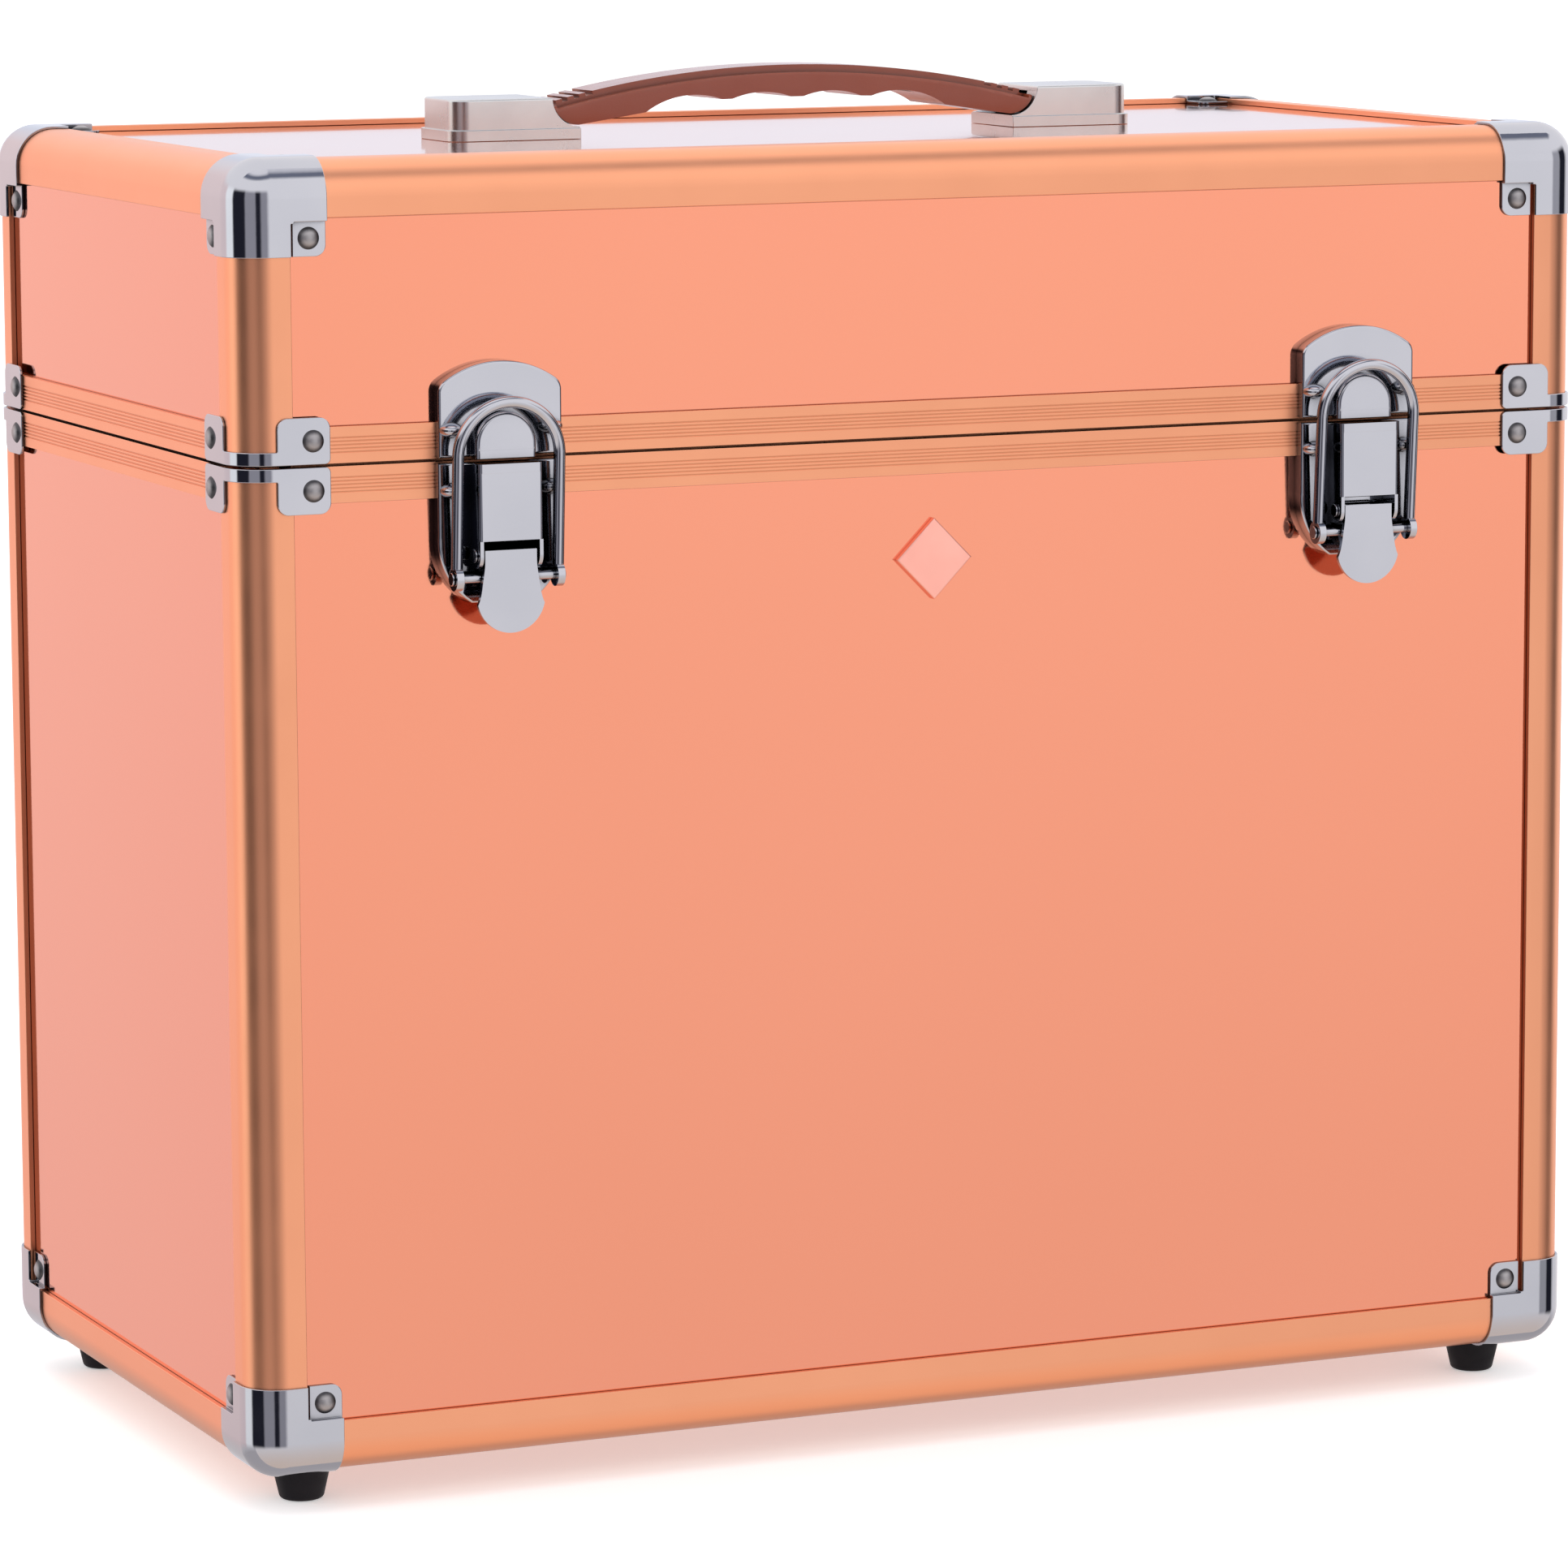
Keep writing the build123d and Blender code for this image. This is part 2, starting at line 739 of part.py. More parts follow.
def catch_plate(face, name):
    """The lid's half: an arched plate with the D shaped catch that the bail goes round."""
    with BuildPart() as plate:
        drawn_plate(face, catch_outline)
        hollow_plate(face, catch_outline, plate, 0, band_height + 0.1)
        with BuildSketch(face.offset(plate_front - plate_sheet)):
            add(boss_outline(0))
        extrude(amount=boss_front - plate_front + plate_sheet)
        fillet(plate.faces().sort_by(Axis.Y)[0].edges(), boss_round)
        with BuildSketch(face):
            add(boss_outline(plate_sheet))
        extrude(amount=boss_front - plate_sheet, mode=Mode.SUBTRACT)
        drill(*lid_holes)
    save(plate.part, name)


def side_section(face):
    """The plane through a latch's middle: x outwards, y up."""
    return Plane(origin=face.origin, x_dir=(0, -1, 0), z_dir=(-1, 0, 0))


def base_plate(face, name):
    """The base's half: a plate with the hood over the lever and two ears for its fulcrum pin."""
    section = side_section(face)
    inner = hood_half_width - plate_sheet
    with BuildPart() as plate:
        drawn_plate(face, base_plate_outline)
        hollow_plate(face, base_plate_outline, plate, -band_height - 0.1, 0)
        with BuildSketch(face.offset(plate_front - plate_sheet)):
            patch(-hood_half_width, hood_bottom, hood_half_width, hood_top)
        extrude(amount=hood_front - plate_front + plate_sheet)
        hood_face = plate.faces().sort_by(Axis.Y)[0]
        sides = hood_face.edges().filter_by(Axis.Z) + hood_face.edges().sort_by(Axis.Z)[-1:]
        fillet(sides, hood_round)
        with BuildSketch(face):
            patch(-inner, hood_bottom - 1, inner, hood_top - plate_sheet)
        extrude(amount=hood_front - plate_sheet, mode=Mode.SUBTRACT)
        for side in (-1, 1):
            with BuildSketch(section.offset(side * (hood_half_width - plate_sheet / 2))):
                patch(plate_front - plate_sheet, fulcrum_up, hood_front, hood_bottom)
                patch(plate_front - plate_sheet, fulcrum_up - ear_radius, fulcrum_out, fulcrum_up)
                with Locations((fulcrum_out, fulcrum_up)):
                    Circle(ear_radius)
            extrude(amount=plate_sheet / 2, both=True)
        with BuildSketch(section):
            with Locations((fulcrum_out, fulcrum_up)):
                Circle(fulcrum_radius)
        extrude(amount=hood_half_width + 1, both=True, mode=Mode.SUBTRACT)
        drill(*base_holes)
    save(plate.part, name)


def lever(face, name):
    """Channel shaped lever whose tongue is pulled outwards to let the bail go."""
    section = side_section(face)
    cheek_front = lever_front - lever_sheet / 2
    cheek_back = lever_front - lever_cheek_depth
    cheek_low = fulcrum_out - fulcrum_radius / 2
    cheek_step = bail_pin_up + bail_pin_radius
    straight_end = lever_top - lever_straight
    with BuildPart() as tongue:
        with BuildSketch(face.offset(lever_front - lever_sheet)):
            with BuildLine():
                Line((-lever_half_width, lever_top), (lever_half_width, lever_top))
                Line((lever_half_width, lever_top), (lever_half_width, straight_end))
                Spline(
                    (lever_half_width, straight_end), (lever_waist_half_width, lever_waist_up),
                    (lever_flare_half_width, lever_flare_up), tangents=[(0, -1), (0.5, -1)],
                )
                ThreePointArc(
                    (lever_flare_half_width, lever_flare_up), (0, lever_bottom),
                    (-lever_flare_half_width, lever_flare_up),
                )
                Spline(
                    (-lever_flare_half_width, lever_flare_up), (-lever_waist_half_width, lever_waist_up),
                    (-lever_half_width, straight_end), tangents=[(0.5, 1), (0, 1)],
                )
                Line((-lever_half_width, straight_end), (-lever_half_width, lever_top))
            make_face()
        extrude(amount=lever_sheet)
        for side in (-1, 1):
            with BuildSketch(section.offset(side * (lever_half_width - lever_sheet / 2))):
                with BuildLine():
                    Polyline(
                        (cheek_front, lever_top), (cheek_front, lever_cheek_end),
                        (cheek_low, lever_cheek_end), (cheek_back, cheek_step),
                        (cheek_back, lever_top), (cheek_front, lever_top),
                    )
                make_face()
            extrude(amount=lever_sheet / 2, both=True)
        with BuildSketch(section):
            with Locations((fulcrum_out, fulcrum_up)):
                Circle(fulcrum_radius + running_clearance)
            with Locations((fulcrum_out, bail_pin_up)):
                Circle(bail_pin_radius)
        extrude(amount=2 * lever_half_width, both=True, mode=Mode.SUBTRACT)
    save(tongue.part, name)


def bail(face, name):
    """Bent wire loop: two legs and a round arch, with flat eyelets on the lever's pin."""
    pin = Plane(origin=face.origin + Vector(0, -fulcrum_out, bail_pin_up))
    tilted = pin.rotated((bail_tilt, 0, 0))
    arch = bail_length - bail_half_width
    leg_start = eyelet_radius - leg_overlap
    with BuildPart() as wire:
        with BuildLine(Plane(origin=tilted.origin, x_dir=(1, 0, 0), z_dir=-tilted.y_dir)) as path:
            Line((-bail_half_width, leg_start), (-bail_half_width, arch))
            ThreePointArc((-bail_half_width, arch), (0, arch + bail_half_width), (bail_half_width, arch))
            Line((bail_half_width, arch), (bail_half_width, leg_start))
        with BuildSketch(Plane(origin=path.line @ 0, z_dir=path.line % 0)):
            Circle(wire_radius)
        sweep()
        for side in (-1, 1):
            with BuildSketch(side_section(face).offset(-side * bail_half_width)):
                with Locations((fulcrum_out, bail_pin_up)):
                    Circle(eyelet_radius)
            extrude(amount=eyelet_thickness / 2, both=True)
        with BuildSketch(side_section(face)):
            with Locations((fulcrum_out, bail_pin_up)):
                Circle(bail_pin_radius + running_clearance)
        extrude(amount=bail_half_width + eyelet_thickness, both=True, mode=Mode.SUBTRACT)
    save(wire.part, name)


def cross_pin(face, height, radius, half_length, head):
    """A pin along x with a low head on each end."""
    with BuildSketch(side_section(face)) as shaft:
        with Locations((fulcrum_out, height)):
            Circle(radius)
    extrude(shaft.sketch, amount=half_length, both=True)
    for side in (-1, 1):
        with BuildSketch(side_section(face).offset(side * (half_length + head / 2))) as end:
            with Locations((fulcrum_out, height)):
                Circle(radius + pin_head)
        extrude(end.sketch, amount=head / 2, both=True)


latch_faces = {place: outer_plane("front", x, seam_z) for place, x in latch_places.items()}
bail_pin_half_length = bail_half_width + eyelet_thickness / 2 + 2 * running_clearance
for place, face in latch_faces.items():
    catch_plate(face, f"catch_plate_{place}")
    base_plate(face, f"latch_plate_{place}")
    lever(face, f"latch_lever_{place}")
    bail(face, f"latch_bail_{place}")
    with BuildPart() as bail_pin:
        cross_pin(face, bail_pin_up, bail_pin_radius, bail_pin_half_length, pin_head)
    save(bail_pin.part, f"bail_pin_{place}")
with BuildPart() as fulcrum_pins:
    for face in latch_faces.values():
        cross_pin(face, fulcrum_up, fulcrum_radius, hood_half_width, pin_head)
save(fulcrum_pins.part, "latch_fulcrum_pins")


# Hinges
def hinge_leaf_part(x, away, knuckles):
    """One leaf with its knuckles: it lies on the seam bar, then steps in onto the board."""
    section = Plane(origin=(x, back_y, seam_z), x_dir=(0, 1, 0), z_dir=(1, 0, 0))
    step_top = away * (band_height + knuckle_gap)
    step_low = away * (band_height + knuckle_gap + bar_skin)
    end = away * hinge_leaf_height
    clear = barrel_radius + knuckle_play
    with BuildSketch(section) as leaf:
        with BuildLine():
            Polyline(
                (0, away * clear), (hinge_leaf, away * clear), (hinge_leaf, step_top),
                (hinge_leaf - bar_skin, step_low), (hinge_leaf - bar_skin, end), (-bar_skin, end),
                (-bar_skin, step_low), (0, step_top), (0, away * clear),
            )
        make_face()
    extrude(leaf.sketch, amount=hinge_width / 2, both=True)
    for low, high in knuckles:
        with BuildSketch(section.offset(low)) as knuckle:
            patch(0, min(0, away * clear), hinge_leaf, max(0, away * clear))
            with Locations((hinge_out, 0)):
                Circle(barrel_radius)
                Circle(hinge_pin_radius + running_clearance, mode=Mode.SUBTRACT)
        extrude(knuckle.sketch, amount=high - low)


third = hinge_width / 3
outer_knuckles = [
    (-hinge_width / 2, -third / 2 - knuckle_gap / 2),
    (third / 2 + knuckle_gap / 2, hinge_width / 2),
]
middle_knuckle = [(-third / 2 + knuckle_gap / 2, third / 2 - knuckle_gap / 2)]
with BuildPart() as hinge_base_leaves:
    for hinge_x in hinge_places:
        hinge_leaf_part(hinge_x, -1, outer_knuckles)
    drill(*base_holes)
save(hinge_base_leaves.part, "hinge_base_leaves")
with BuildPart() as hinge_lid_leaves:
    for hinge_x in hinge_places:
        hinge_leaf_part(hinge_x, 1, middle_knuckle)
    drill(*lid_holes)
save(hinge_lid_leaves.part, "hinge_lid_leaves")
with BuildPart() as hinge_pins:
    for hinge_x in hinge_places:
        pin_middle = (hinge_x, back_y + hinge_out, seam_z)
        with BuildSketch(Plane(origin=pin_middle, x_dir=(0, 1, 0), z_dir=(1, 0, 0))):
            Circle(hinge_pin_radius)
        extrude(amount=hinge_width / 2 + knuckle_gap, both=True)
save(hinge_pins.part, "hinge_pins")


# Handle
screw_reach = chamber_low - 0.8


def handle_section(sign):
    """Side view of the handle: x along the case and outwards, y up from the lid's top board."""
    return Plane(origin=(0, case_y, lid_panel_z), x_dir=(sign, 0, 0), z_dir=(0, -sign, 0))


def handle_block(sign, name):
    """Cast end block with a low flange, a rounded outer end and a round mouth for the grip's end."""
    section = handle_section(sign)
    half = block_width / 2
    with BuildPart() as end_block:
        with BuildSketch(section):
            patch(block_inner, 0, block_outer, block_flange)
        extrude(amount=half, both=True)
        with BuildSketch(section):
            patch(block_inner, block_flange, block_outer - block_step, block_height)
            with Locations((block_inner, block_height)):
                Circle(mouth_radius, mode=Mode.SUBTRACT)
        extrude(amount=half - block_step, both=True)
        far_edges = end_block.edges().filter_by(Axis.Z).filter_by(
            lambda edge: abs(edge.center().X) > block_outer - 2 * block_step)
        fillet(far_edges, block_corner - block_step)
        top_face = end_block.faces().sort_by(Axis.Z)[-1]
        fillet(top_face.edges(), block_round)
        with BuildSketch(section):
            patch(block_inner - 1, chamber_low, chamber_end, chamber_high)
        extrude(amount=chamber_half_width, both=True, mode=Mode.SUBTRACT)
        with Locations(*[spot for spot in handle_screw_spots if spot[0] * sign > 0]):
            Cylinder(
                handle_screw_radius, screw_reach + running_clearance,
                align=(Align.CENTER, Align.CENTER, Align.MIN), mode=Mode.SUBTRACT,
            )
    save(end_block.part, name)


for block_name, block_sign in block_signs.items():
    handle_block(block_sign, f"handle_block_{block_name}")

screw_length = board_inner - bar_skin + screw_reach - board_play
with BuildPart() as handle_screws:
    heads = [(x, y, top_z - board_inner + board_play) for x, y, z in handle_screw_spots]
    with Locations(*heads):
        Cylinder(handle_screw_radius, screw_length, align=(Align.CENTER, Align.CENTER, Align.MIN))
        Cylinder(handle_screw_head, screw_head_height, align=(Align.CENTER, Align.CENTER, Align.MAX))
save(handle_screws.part, "handle_screws")

handle_middle = handle_section(1)
with BuildPart() as handle_strap:
    with BuildSketch(handle_middle):
        with BuildLine():
            ThreePointArc((-block_inner, strap_low), (0, strap_low + strap_rise), (block_inner, strap_low))
            Line((block_inner, strap_low), (block_inner, strap_low + strap_thickness))
            ThreePointArc(
                (block_inner, strap_low + strap_thickness), (0, strap_low + strap_rise + strap_thickness),
                (-block_inner, strap_low + strap_thickness),
            )
            Line((-block_inner, strap_low + strap_thickness), (-block_inner, strap_low))
        make_face()
        patch(block_inner, strap_low, strap_end, strap_low + strap_thickness)
        patch(-strap_end, strap_low, -block_inner, strap_low + strap_thickness)
    extrude(amount=strap_half_width, both=True)
save(handle_strap.part, "handle_strap")

grip_end_radius = mouth_radius - mouth_gap
with BuildPart() as handle_grip:
    grip_end = block_inner + math.sqrt(grip_end_radius ** 2 - (block_height - grip_top_end) ** 2)
    end_low = block_height - grip_end_radius
    step_x = finger_zone - grip_step_length
    step_z = grip_bottom_step + grip_step_height
    middle_angle = math.radians(45)
    arc_x = block_inner + grip_end_radius * math.cos(middle_angle)
    arc_z = block_height - grip_end_radius * math.sin(middle_angle)
    with BuildSketch(handle_middle):
        with BuildLine():
            ThreePointArc((-grip_end, grip_top_end), (0, grip_top_centre), (grip_end, grip_top_end))
            ThreePointArc((grip_end, grip_top_end), (arc_x, arc_z), (block_inner, end_low))
            Line((block_inner, end_low), (finger_zone, grip_bottom_step))
            Line((finger_zone, grip_bottom_step), (step_x, step_z))
            ThreePointArc((step_x, step_z), (0, grip_bottom_centre), (-step_x, step_z))
            Line((-step_x, step_z), (-finger_zone, grip_bottom_step))
            Line((-finger_zone, grip_bottom_step), (-block_inner, end_low))
            ThreePointArc((-block_inner, end_low), (-arc_x, arc_z), (-grip_end, grip_top_end))
        make_face()
    extrude(amount=grip_half_width, both=True)
    top_edges = handle_grip.faces().sort_by(Axis.Z)[-1].edges().filter_by(GeomType.CIRCLE)
    fillet(top_edges, grip_round)
    with BuildSketch(handle_middle):
        for place in finger_places:
            finger_x = place * finger_pitch
            sag = finger_x ** 2 / (2 * finger_arch_radius)
            with Locations((finger_x, grip_bottom_centre - sag + finger_depth - finger_radius)):
                Circle(finger_radius)
        patch(-finger_zone, -2 * finger_radius, finger_zone, 0, Mode.SUBTRACT)
    extrude(amount=grip_half_width + 1, both=True, mode=Mode.SUBTRACT)
    add(handle_strap.part, mode=Mode.SUBTRACT)
save(handle_grip.part, "handle_grip")

# Bare badge plate
with BuildPart() as badge:
    with BuildSketch(outer_plane("front", badge_x, seam_z - badge_below_seam).offset(-bar_skin + board_play)):
        Rectangle(badge_side, badge_side, rotation=45)
    extrude(amount=badge_thickness)
    chamfer(badge.faces().sort_by(Axis.Y)[0].edges(), badge_chamfer)
save(badge.part, "badge")

# Tray and its ledges
inner_half_x = half_width - board_inner - lining_thickness
inner_half_y = half_depth - board_inner - lining_thickness
tray_half_x = inner_half_x - tray_side_play
tray_half_y = inner_half_y - tray_side_play
tray_top = seam_z - tray_below_seam
tray_bottom = tray_top - tray_height
with BuildPart() as tray:
    block(
        (-tray_half_x, case_y - tray_half_y, tray_bottom),
        (tray_half_x, case_y + tray_half_y, tray_top),
    )
    fillet(tray.edges().filter_by(Axis.Z), tray_corner)
    tray_front = case_y - tray_half_y
    row_split = tray_front + 2 * tray_half_y * tray_front_share
    rows_y = [
        (tray_front + tray_wall, row_split),
        (row_split + tray_wall, case_y + tray_half_y - tray_wall),
    ]
    for columns, (low_y, high_y) in zip(tray_columns, rows_y):
        pitch = (2 * tray_half_x - tray_wall) / columns
        for column in range(columns):
            low_x = -tray_half_x + tray_wall + column * pitch
            high_x = low_x + pitch - tray_wall
            block((low_x, low_y, tray_bottom + tray_floor), (high_x, high_y, tray_top), Mode.SUBTRACT)
    for sign in (-1, 1):
        slot_middle = (sign * tray_half_x, case_y, tray_top - finger_slot_drop)
        with BuildSketch(Plane(origin=slot_middle, x_dir=(0, 1, 0), z_dir=(1, 0, 0))):
            RectangleRounded(finger_slot_width, finger_slot_height, 0.49 * finger_slot_height)
        extrude(amount=finger_room, both=True, mode=Mode.SUBTRACT)
save(tray.part, "tray")

ledge_top = tray_bottom - board_play
with BuildPart() as tray_ledges:
    for sign in (-1, 1):
        wall_x = sign * inner_half_x
        shelf_x = sign * (inner_half_x - ledge_width)
        low_x, high_x = sorted((wall_x, shelf_x))
        block(
            (low_x, case_y - ledge_length / 2, ledge_top - ledge_thickness),
            (high_x, case_y + ledge_length / 2, ledge_top),
        )
        low_x, high_x = sorted((wall_x, wall_x - sign * ledge_thickness))
        block(
            (low_x, case_y - ledge_length / 2, ledge_top - ledge_drop),
            (high_x, case_y + ledge_length / 2, ledge_top),
        )
save(tray_ledges.part, "tray_ledges")
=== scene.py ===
import json
import math

import bpy
from mathutils import Matrix, Vector


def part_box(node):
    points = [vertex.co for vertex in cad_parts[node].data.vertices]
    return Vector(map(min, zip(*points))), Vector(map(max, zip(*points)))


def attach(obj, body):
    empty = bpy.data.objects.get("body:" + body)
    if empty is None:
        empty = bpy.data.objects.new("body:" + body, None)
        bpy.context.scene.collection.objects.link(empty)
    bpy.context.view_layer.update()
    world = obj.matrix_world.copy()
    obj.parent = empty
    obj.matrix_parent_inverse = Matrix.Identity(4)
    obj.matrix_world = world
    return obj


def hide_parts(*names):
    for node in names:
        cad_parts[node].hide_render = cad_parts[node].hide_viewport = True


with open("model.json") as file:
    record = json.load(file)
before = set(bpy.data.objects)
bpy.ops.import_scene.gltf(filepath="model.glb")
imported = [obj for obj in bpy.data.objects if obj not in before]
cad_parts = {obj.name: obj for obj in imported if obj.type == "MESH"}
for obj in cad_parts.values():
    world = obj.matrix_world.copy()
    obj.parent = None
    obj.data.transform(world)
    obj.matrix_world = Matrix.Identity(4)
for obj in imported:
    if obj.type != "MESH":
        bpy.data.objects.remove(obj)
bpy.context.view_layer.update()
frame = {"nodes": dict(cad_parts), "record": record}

mm = 0.001

# How far sharp edges are broken
chrome_edge = 0.18 * mm
bar_edge = 0.12 * mm
nickel_edge = 0.4 * mm
rivet_edge = 0.08 * mm
rubber_edge = 0.5 * mm
eyelet_edge = 0.75 * mm
lip_edge = 0.03 * mm
vinyl_edge = 0.35 * mm

# Seam between base and lid, and the grooves of its bars
tongue_rise = 2.6 * mm
seam_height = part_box("base_seam_bars")[1][2] - tongue_rise
# How far from the seam the painted shade in the gap reaches
seam_gap_reach = 1.2 * mm
groove_centre = (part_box("lid_seam_bars")[0][2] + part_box("lid_seam_bars")[1][2]) / 2 - seam_height
# The grooves' shade is painted as darker lines of this pitch and width
groove_pitch = 0.95 * mm
groove_width = 0.28 * mm
groove_band_half = 2.4 * groove_pitch
# Width of the shadow painted on each board along its bars
painted_shadow_width = 0.35 * mm

# How near two points are merged, and how flat two faces lie to become one
weld_distance = 0.002 * mm
arc_weld_distance = 0.001 * mm
flat_angle = math.radians(0.5)

# Camera, fitted to the case's straight edges
camera_place = Vector((-0.78083, -1.77408, 0.45735))
camera_yaw = math.radians(23.738)
camera_pitch = math.radians(-8.387)
camera_roll = math.radians(-0.260)
sensor_width = 36.0
focal_length = 156.63


def deselect_all():
    if bpy.context.object and bpy.context.object.mode != "OBJECT":
        bpy.ops.object.mode_set(mode="OBJECT")
    bpy.ops.object.select_all(action="DESELECT")


def make_active(piece):
    deselect_all()
    piece.select_set(True)
    bpy.context.view_layer.objects.active = piece


def apply_modifiers(piece):
    make_active(piece)
    for modifier in list(piece.modifiers):
        bpy.ops.object.modifier_apply(modifier=modifier.name)


def break_edges(piece, width, segments=2, angle=35):
    """Rounds the sharp edges a little, as pressing and plating leave them, and shades the rest smooth."""
    bevel = piece.modifiers.new("broken edges", "BEVEL")
    bevel.width = width
    bevel.segments = segments
    bevel.limit_method = "ANGLE"
    bevel.angle_limit = math.radians(angle)
    bevel.miter_outer = "MITER_ARC"
    weighted = piece.modifiers.new("flat faces stay flat", "WEIGHTED_NORMAL")
    weighted.keep_sharp = True
    make_active(piece)
    bpy.ops.object.shade_smooth_by_angle(angle=math.radians(angle))
    apply_modifiers(piece)


def dress(piece, material, body, slot, *replaced):
    piece.data.materials.clear()
    piece.data.materials.append(material)
    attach(piece, body)
    if replaced:
        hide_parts(*replaced)
    return piece


def merged_copy(node):
    """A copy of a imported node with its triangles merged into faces."""
    source = frame["nodes"][node]
    piece = bpy.data.objects.new(f"{node}_finished", source.data.copy())
    bpy.context.scene.collection.objects.link(piece)
    make_active(piece)
    bpy.ops.mesh.customdata_custom_splitnormals_clear()
    bpy.ops.object.mode_set(mode="EDIT")
    bpy.ops.mesh.select_all(action="SELECT")
    bpy.ops.mesh.remove_doubles(threshold=weld_distance)
    bpy.ops.mesh.dissolve_limited(angle_limit=flat_angle)
    bpy.ops.object.mode_set(mode="OBJECT")
    return piece


def refined(node, edge):
    """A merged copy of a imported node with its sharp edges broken."""
    piece = merged_copy(node)
    break_edges(piece, edge)
    return piece


def cut_away(piece, cutters):
    """Takes the cutters' shapes out of a piece and deletes them."""
    for cutter in cutters:
        cut = piece.modifiers.new("cut", "BOOLEAN")
        cut.operation = "DIFFERENCE"
        cut.object = cutter
    apply_modifiers(piece)
    for cutter in cutters:
        bpy.data.objects.remove(cutter)


# Makers of shader nodes
def spread_node(nodes, low=0.0, high=1.0):
    """Spreads the values between low and high over 0 to 1."""
    spread = nodes.new("ShaderNodeMapRange")
    spread.inputs["From Min"].default_value = low
    spread.inputs["From Max"].default_value = high
    return spread


def math_node(nodes, operation):
    node = nodes.new("ShaderNodeMath")
    node.operation = operation
    return node


def vector_node(nodes, operation):
    node = nodes.new("ShaderNodeVectorMath")
    node.operation = operation
    return node


def mix_node(nodes):
    """Goes from colour A to colour B as its factor goes from 0 to 1."""
    mix = nodes.new("ShaderNodeMix")
    mix.data_type = "RGBA"
    return mix


# Shared effects, as node groups that put out values and colours only
def new_group(name, inputs, output="Value", output_kind="NodeSocketFloat"):
    """An empty node group with its start and end, whose inputs take their kind from their first values."""
    group = bpy.data.node_groups.new(name, "ShaderNodeTree")
    for label, value in inputs.items():
        kind = "NodeSocketFloat"
        if isinstance(value, tuple):
            kind = "NodeSocketColor" if len(value) == 4 else "NodeSocketVector"
        socket = group.interface.new_socket(label, in_out="INPUT", socket_type=kind)
        socket.default_value = value
    group.interface.new_socket(output, in_out="OUTPUT", socket_type=output_kind)
    start = group.nodes.new("NodeGroupInput")
    end = group.nodes.new("NodeGroupOutput")
    return group, start, end


def cloud_group():
    """A soft cloudy value between Low and High, such as smudges in a polish."""
    group, start, end = new_group("cloudiness", {"Scale": 10.0, "Low": 0.0, "High": 1.0})
    place = group.nodes.new("ShaderNodeTexCoord")
    noise = group.nodes.new("ShaderNodeTexNoise")
    noise.inputs["Detail"].default_value = 4
    spread = spread_node(group.nodes, 0.3, 0.7)
    links = group.links
    links.new(place.outputs["Object"], noise.inputs["Vector"])
    links.new(start.outputs["Scale"], noise.inputs["Scale"])
    links.new(noise.outputs["Fac"], spread.inputs["Value"])
    links.new(start.outputs["Low"], spread.inputs["To Min"])
    links.new(start.outputs["High"], spread.inputs["To Max"])
    links.new(spread.outputs["Result"], end.inputs["Value"])
    return group


def grain_group():
    """Grain between 0 and 1, drawn out by Stretch: fine speckle, brushed lines or leather."""
    group, start, end = new_group("grain", {"Stretch": (1000.0, 1000.0, 1000.0), "Detail": 2.0})
    place = group.nodes.new("ShaderNodeTexCoord")
    stretch = vector_node(group.nodes, "MULTIPLY")
    noise = group.nodes.new("ShaderNodeTexNoise")
    noise.inputs["Scale"].default_value = 1.0
    links = group.links
    links.new(place.outputs["Object"], stretch.inputs[0])
    links.new(start.outputs["Stretch"], stretch.inputs[1])
    links.new(stretch.outputs["Vector"], noise.inputs["Vector"])
    links.new(start.outputs["Detail"], noise.inputs["Detail"])
    links.new(noise.outputs["Fac"], end.inputs["Value"])
    return group


def tint_group():
    """A colour that drifts slowly between two near ones."""
    inputs = {"First": (1.0, 1.0, 1.0, 1.0), "Second": (1.0, 1.0, 1.0, 1.0), "Scale": 5.0}
    group, start, end = new_group("tint", inputs, "Color", "NodeSocketColor")
    place = group.nodes.new("ShaderNodeTexCoord")
    noise = group.nodes.new("ShaderNodeTexNoise")
    spread = spread_node(group.nodes, 0.35, 0.65)
    mix = mix_node(group.nodes)
    links = group.links
    links.new(place.outputs["Object"], noise.inputs["Vector"])
    links.new(start.outputs["Scale"], noise.inputs["Scale"])
    links.new(noise.outputs["Fac"], spread.inputs["Value"])
    links.new(spread.outputs["Result"], mix.inputs["Factor"])
    links.new(start.outputs["First"], mix.inputs["A"])
    links.new(start.outputs["Second"], mix.inputs["B"])
    links.new(mix.outputs["Result"], end.inputs["Color"])
    return group


def crevice_group():
    """1 on open surfaces, falling to Darkest where other surfaces stand closer than Distance: a mask for
    painted shade in crevices.
    """
    group, start, end = new_group("crevices", {"Distance": 4 * mm, "Darkest": 0.2})
    shade = group.nodes.new("ShaderNodeAmbientOcclusion")
    shade.samples = 8
    spread = spread_node(group.nodes, 0.25, 0.8)
    links = group.links
    links.new(start.outputs["Distance"], shade.inputs["Distance"])
    links.new(shade.outputs["AO"], spread.inputs["Value"])
    links.new(start.outputs["Darkest"], spread.inputs["To Min"])
    links.new(spread.outputs["Result"], end.inputs["Value"])
    return group


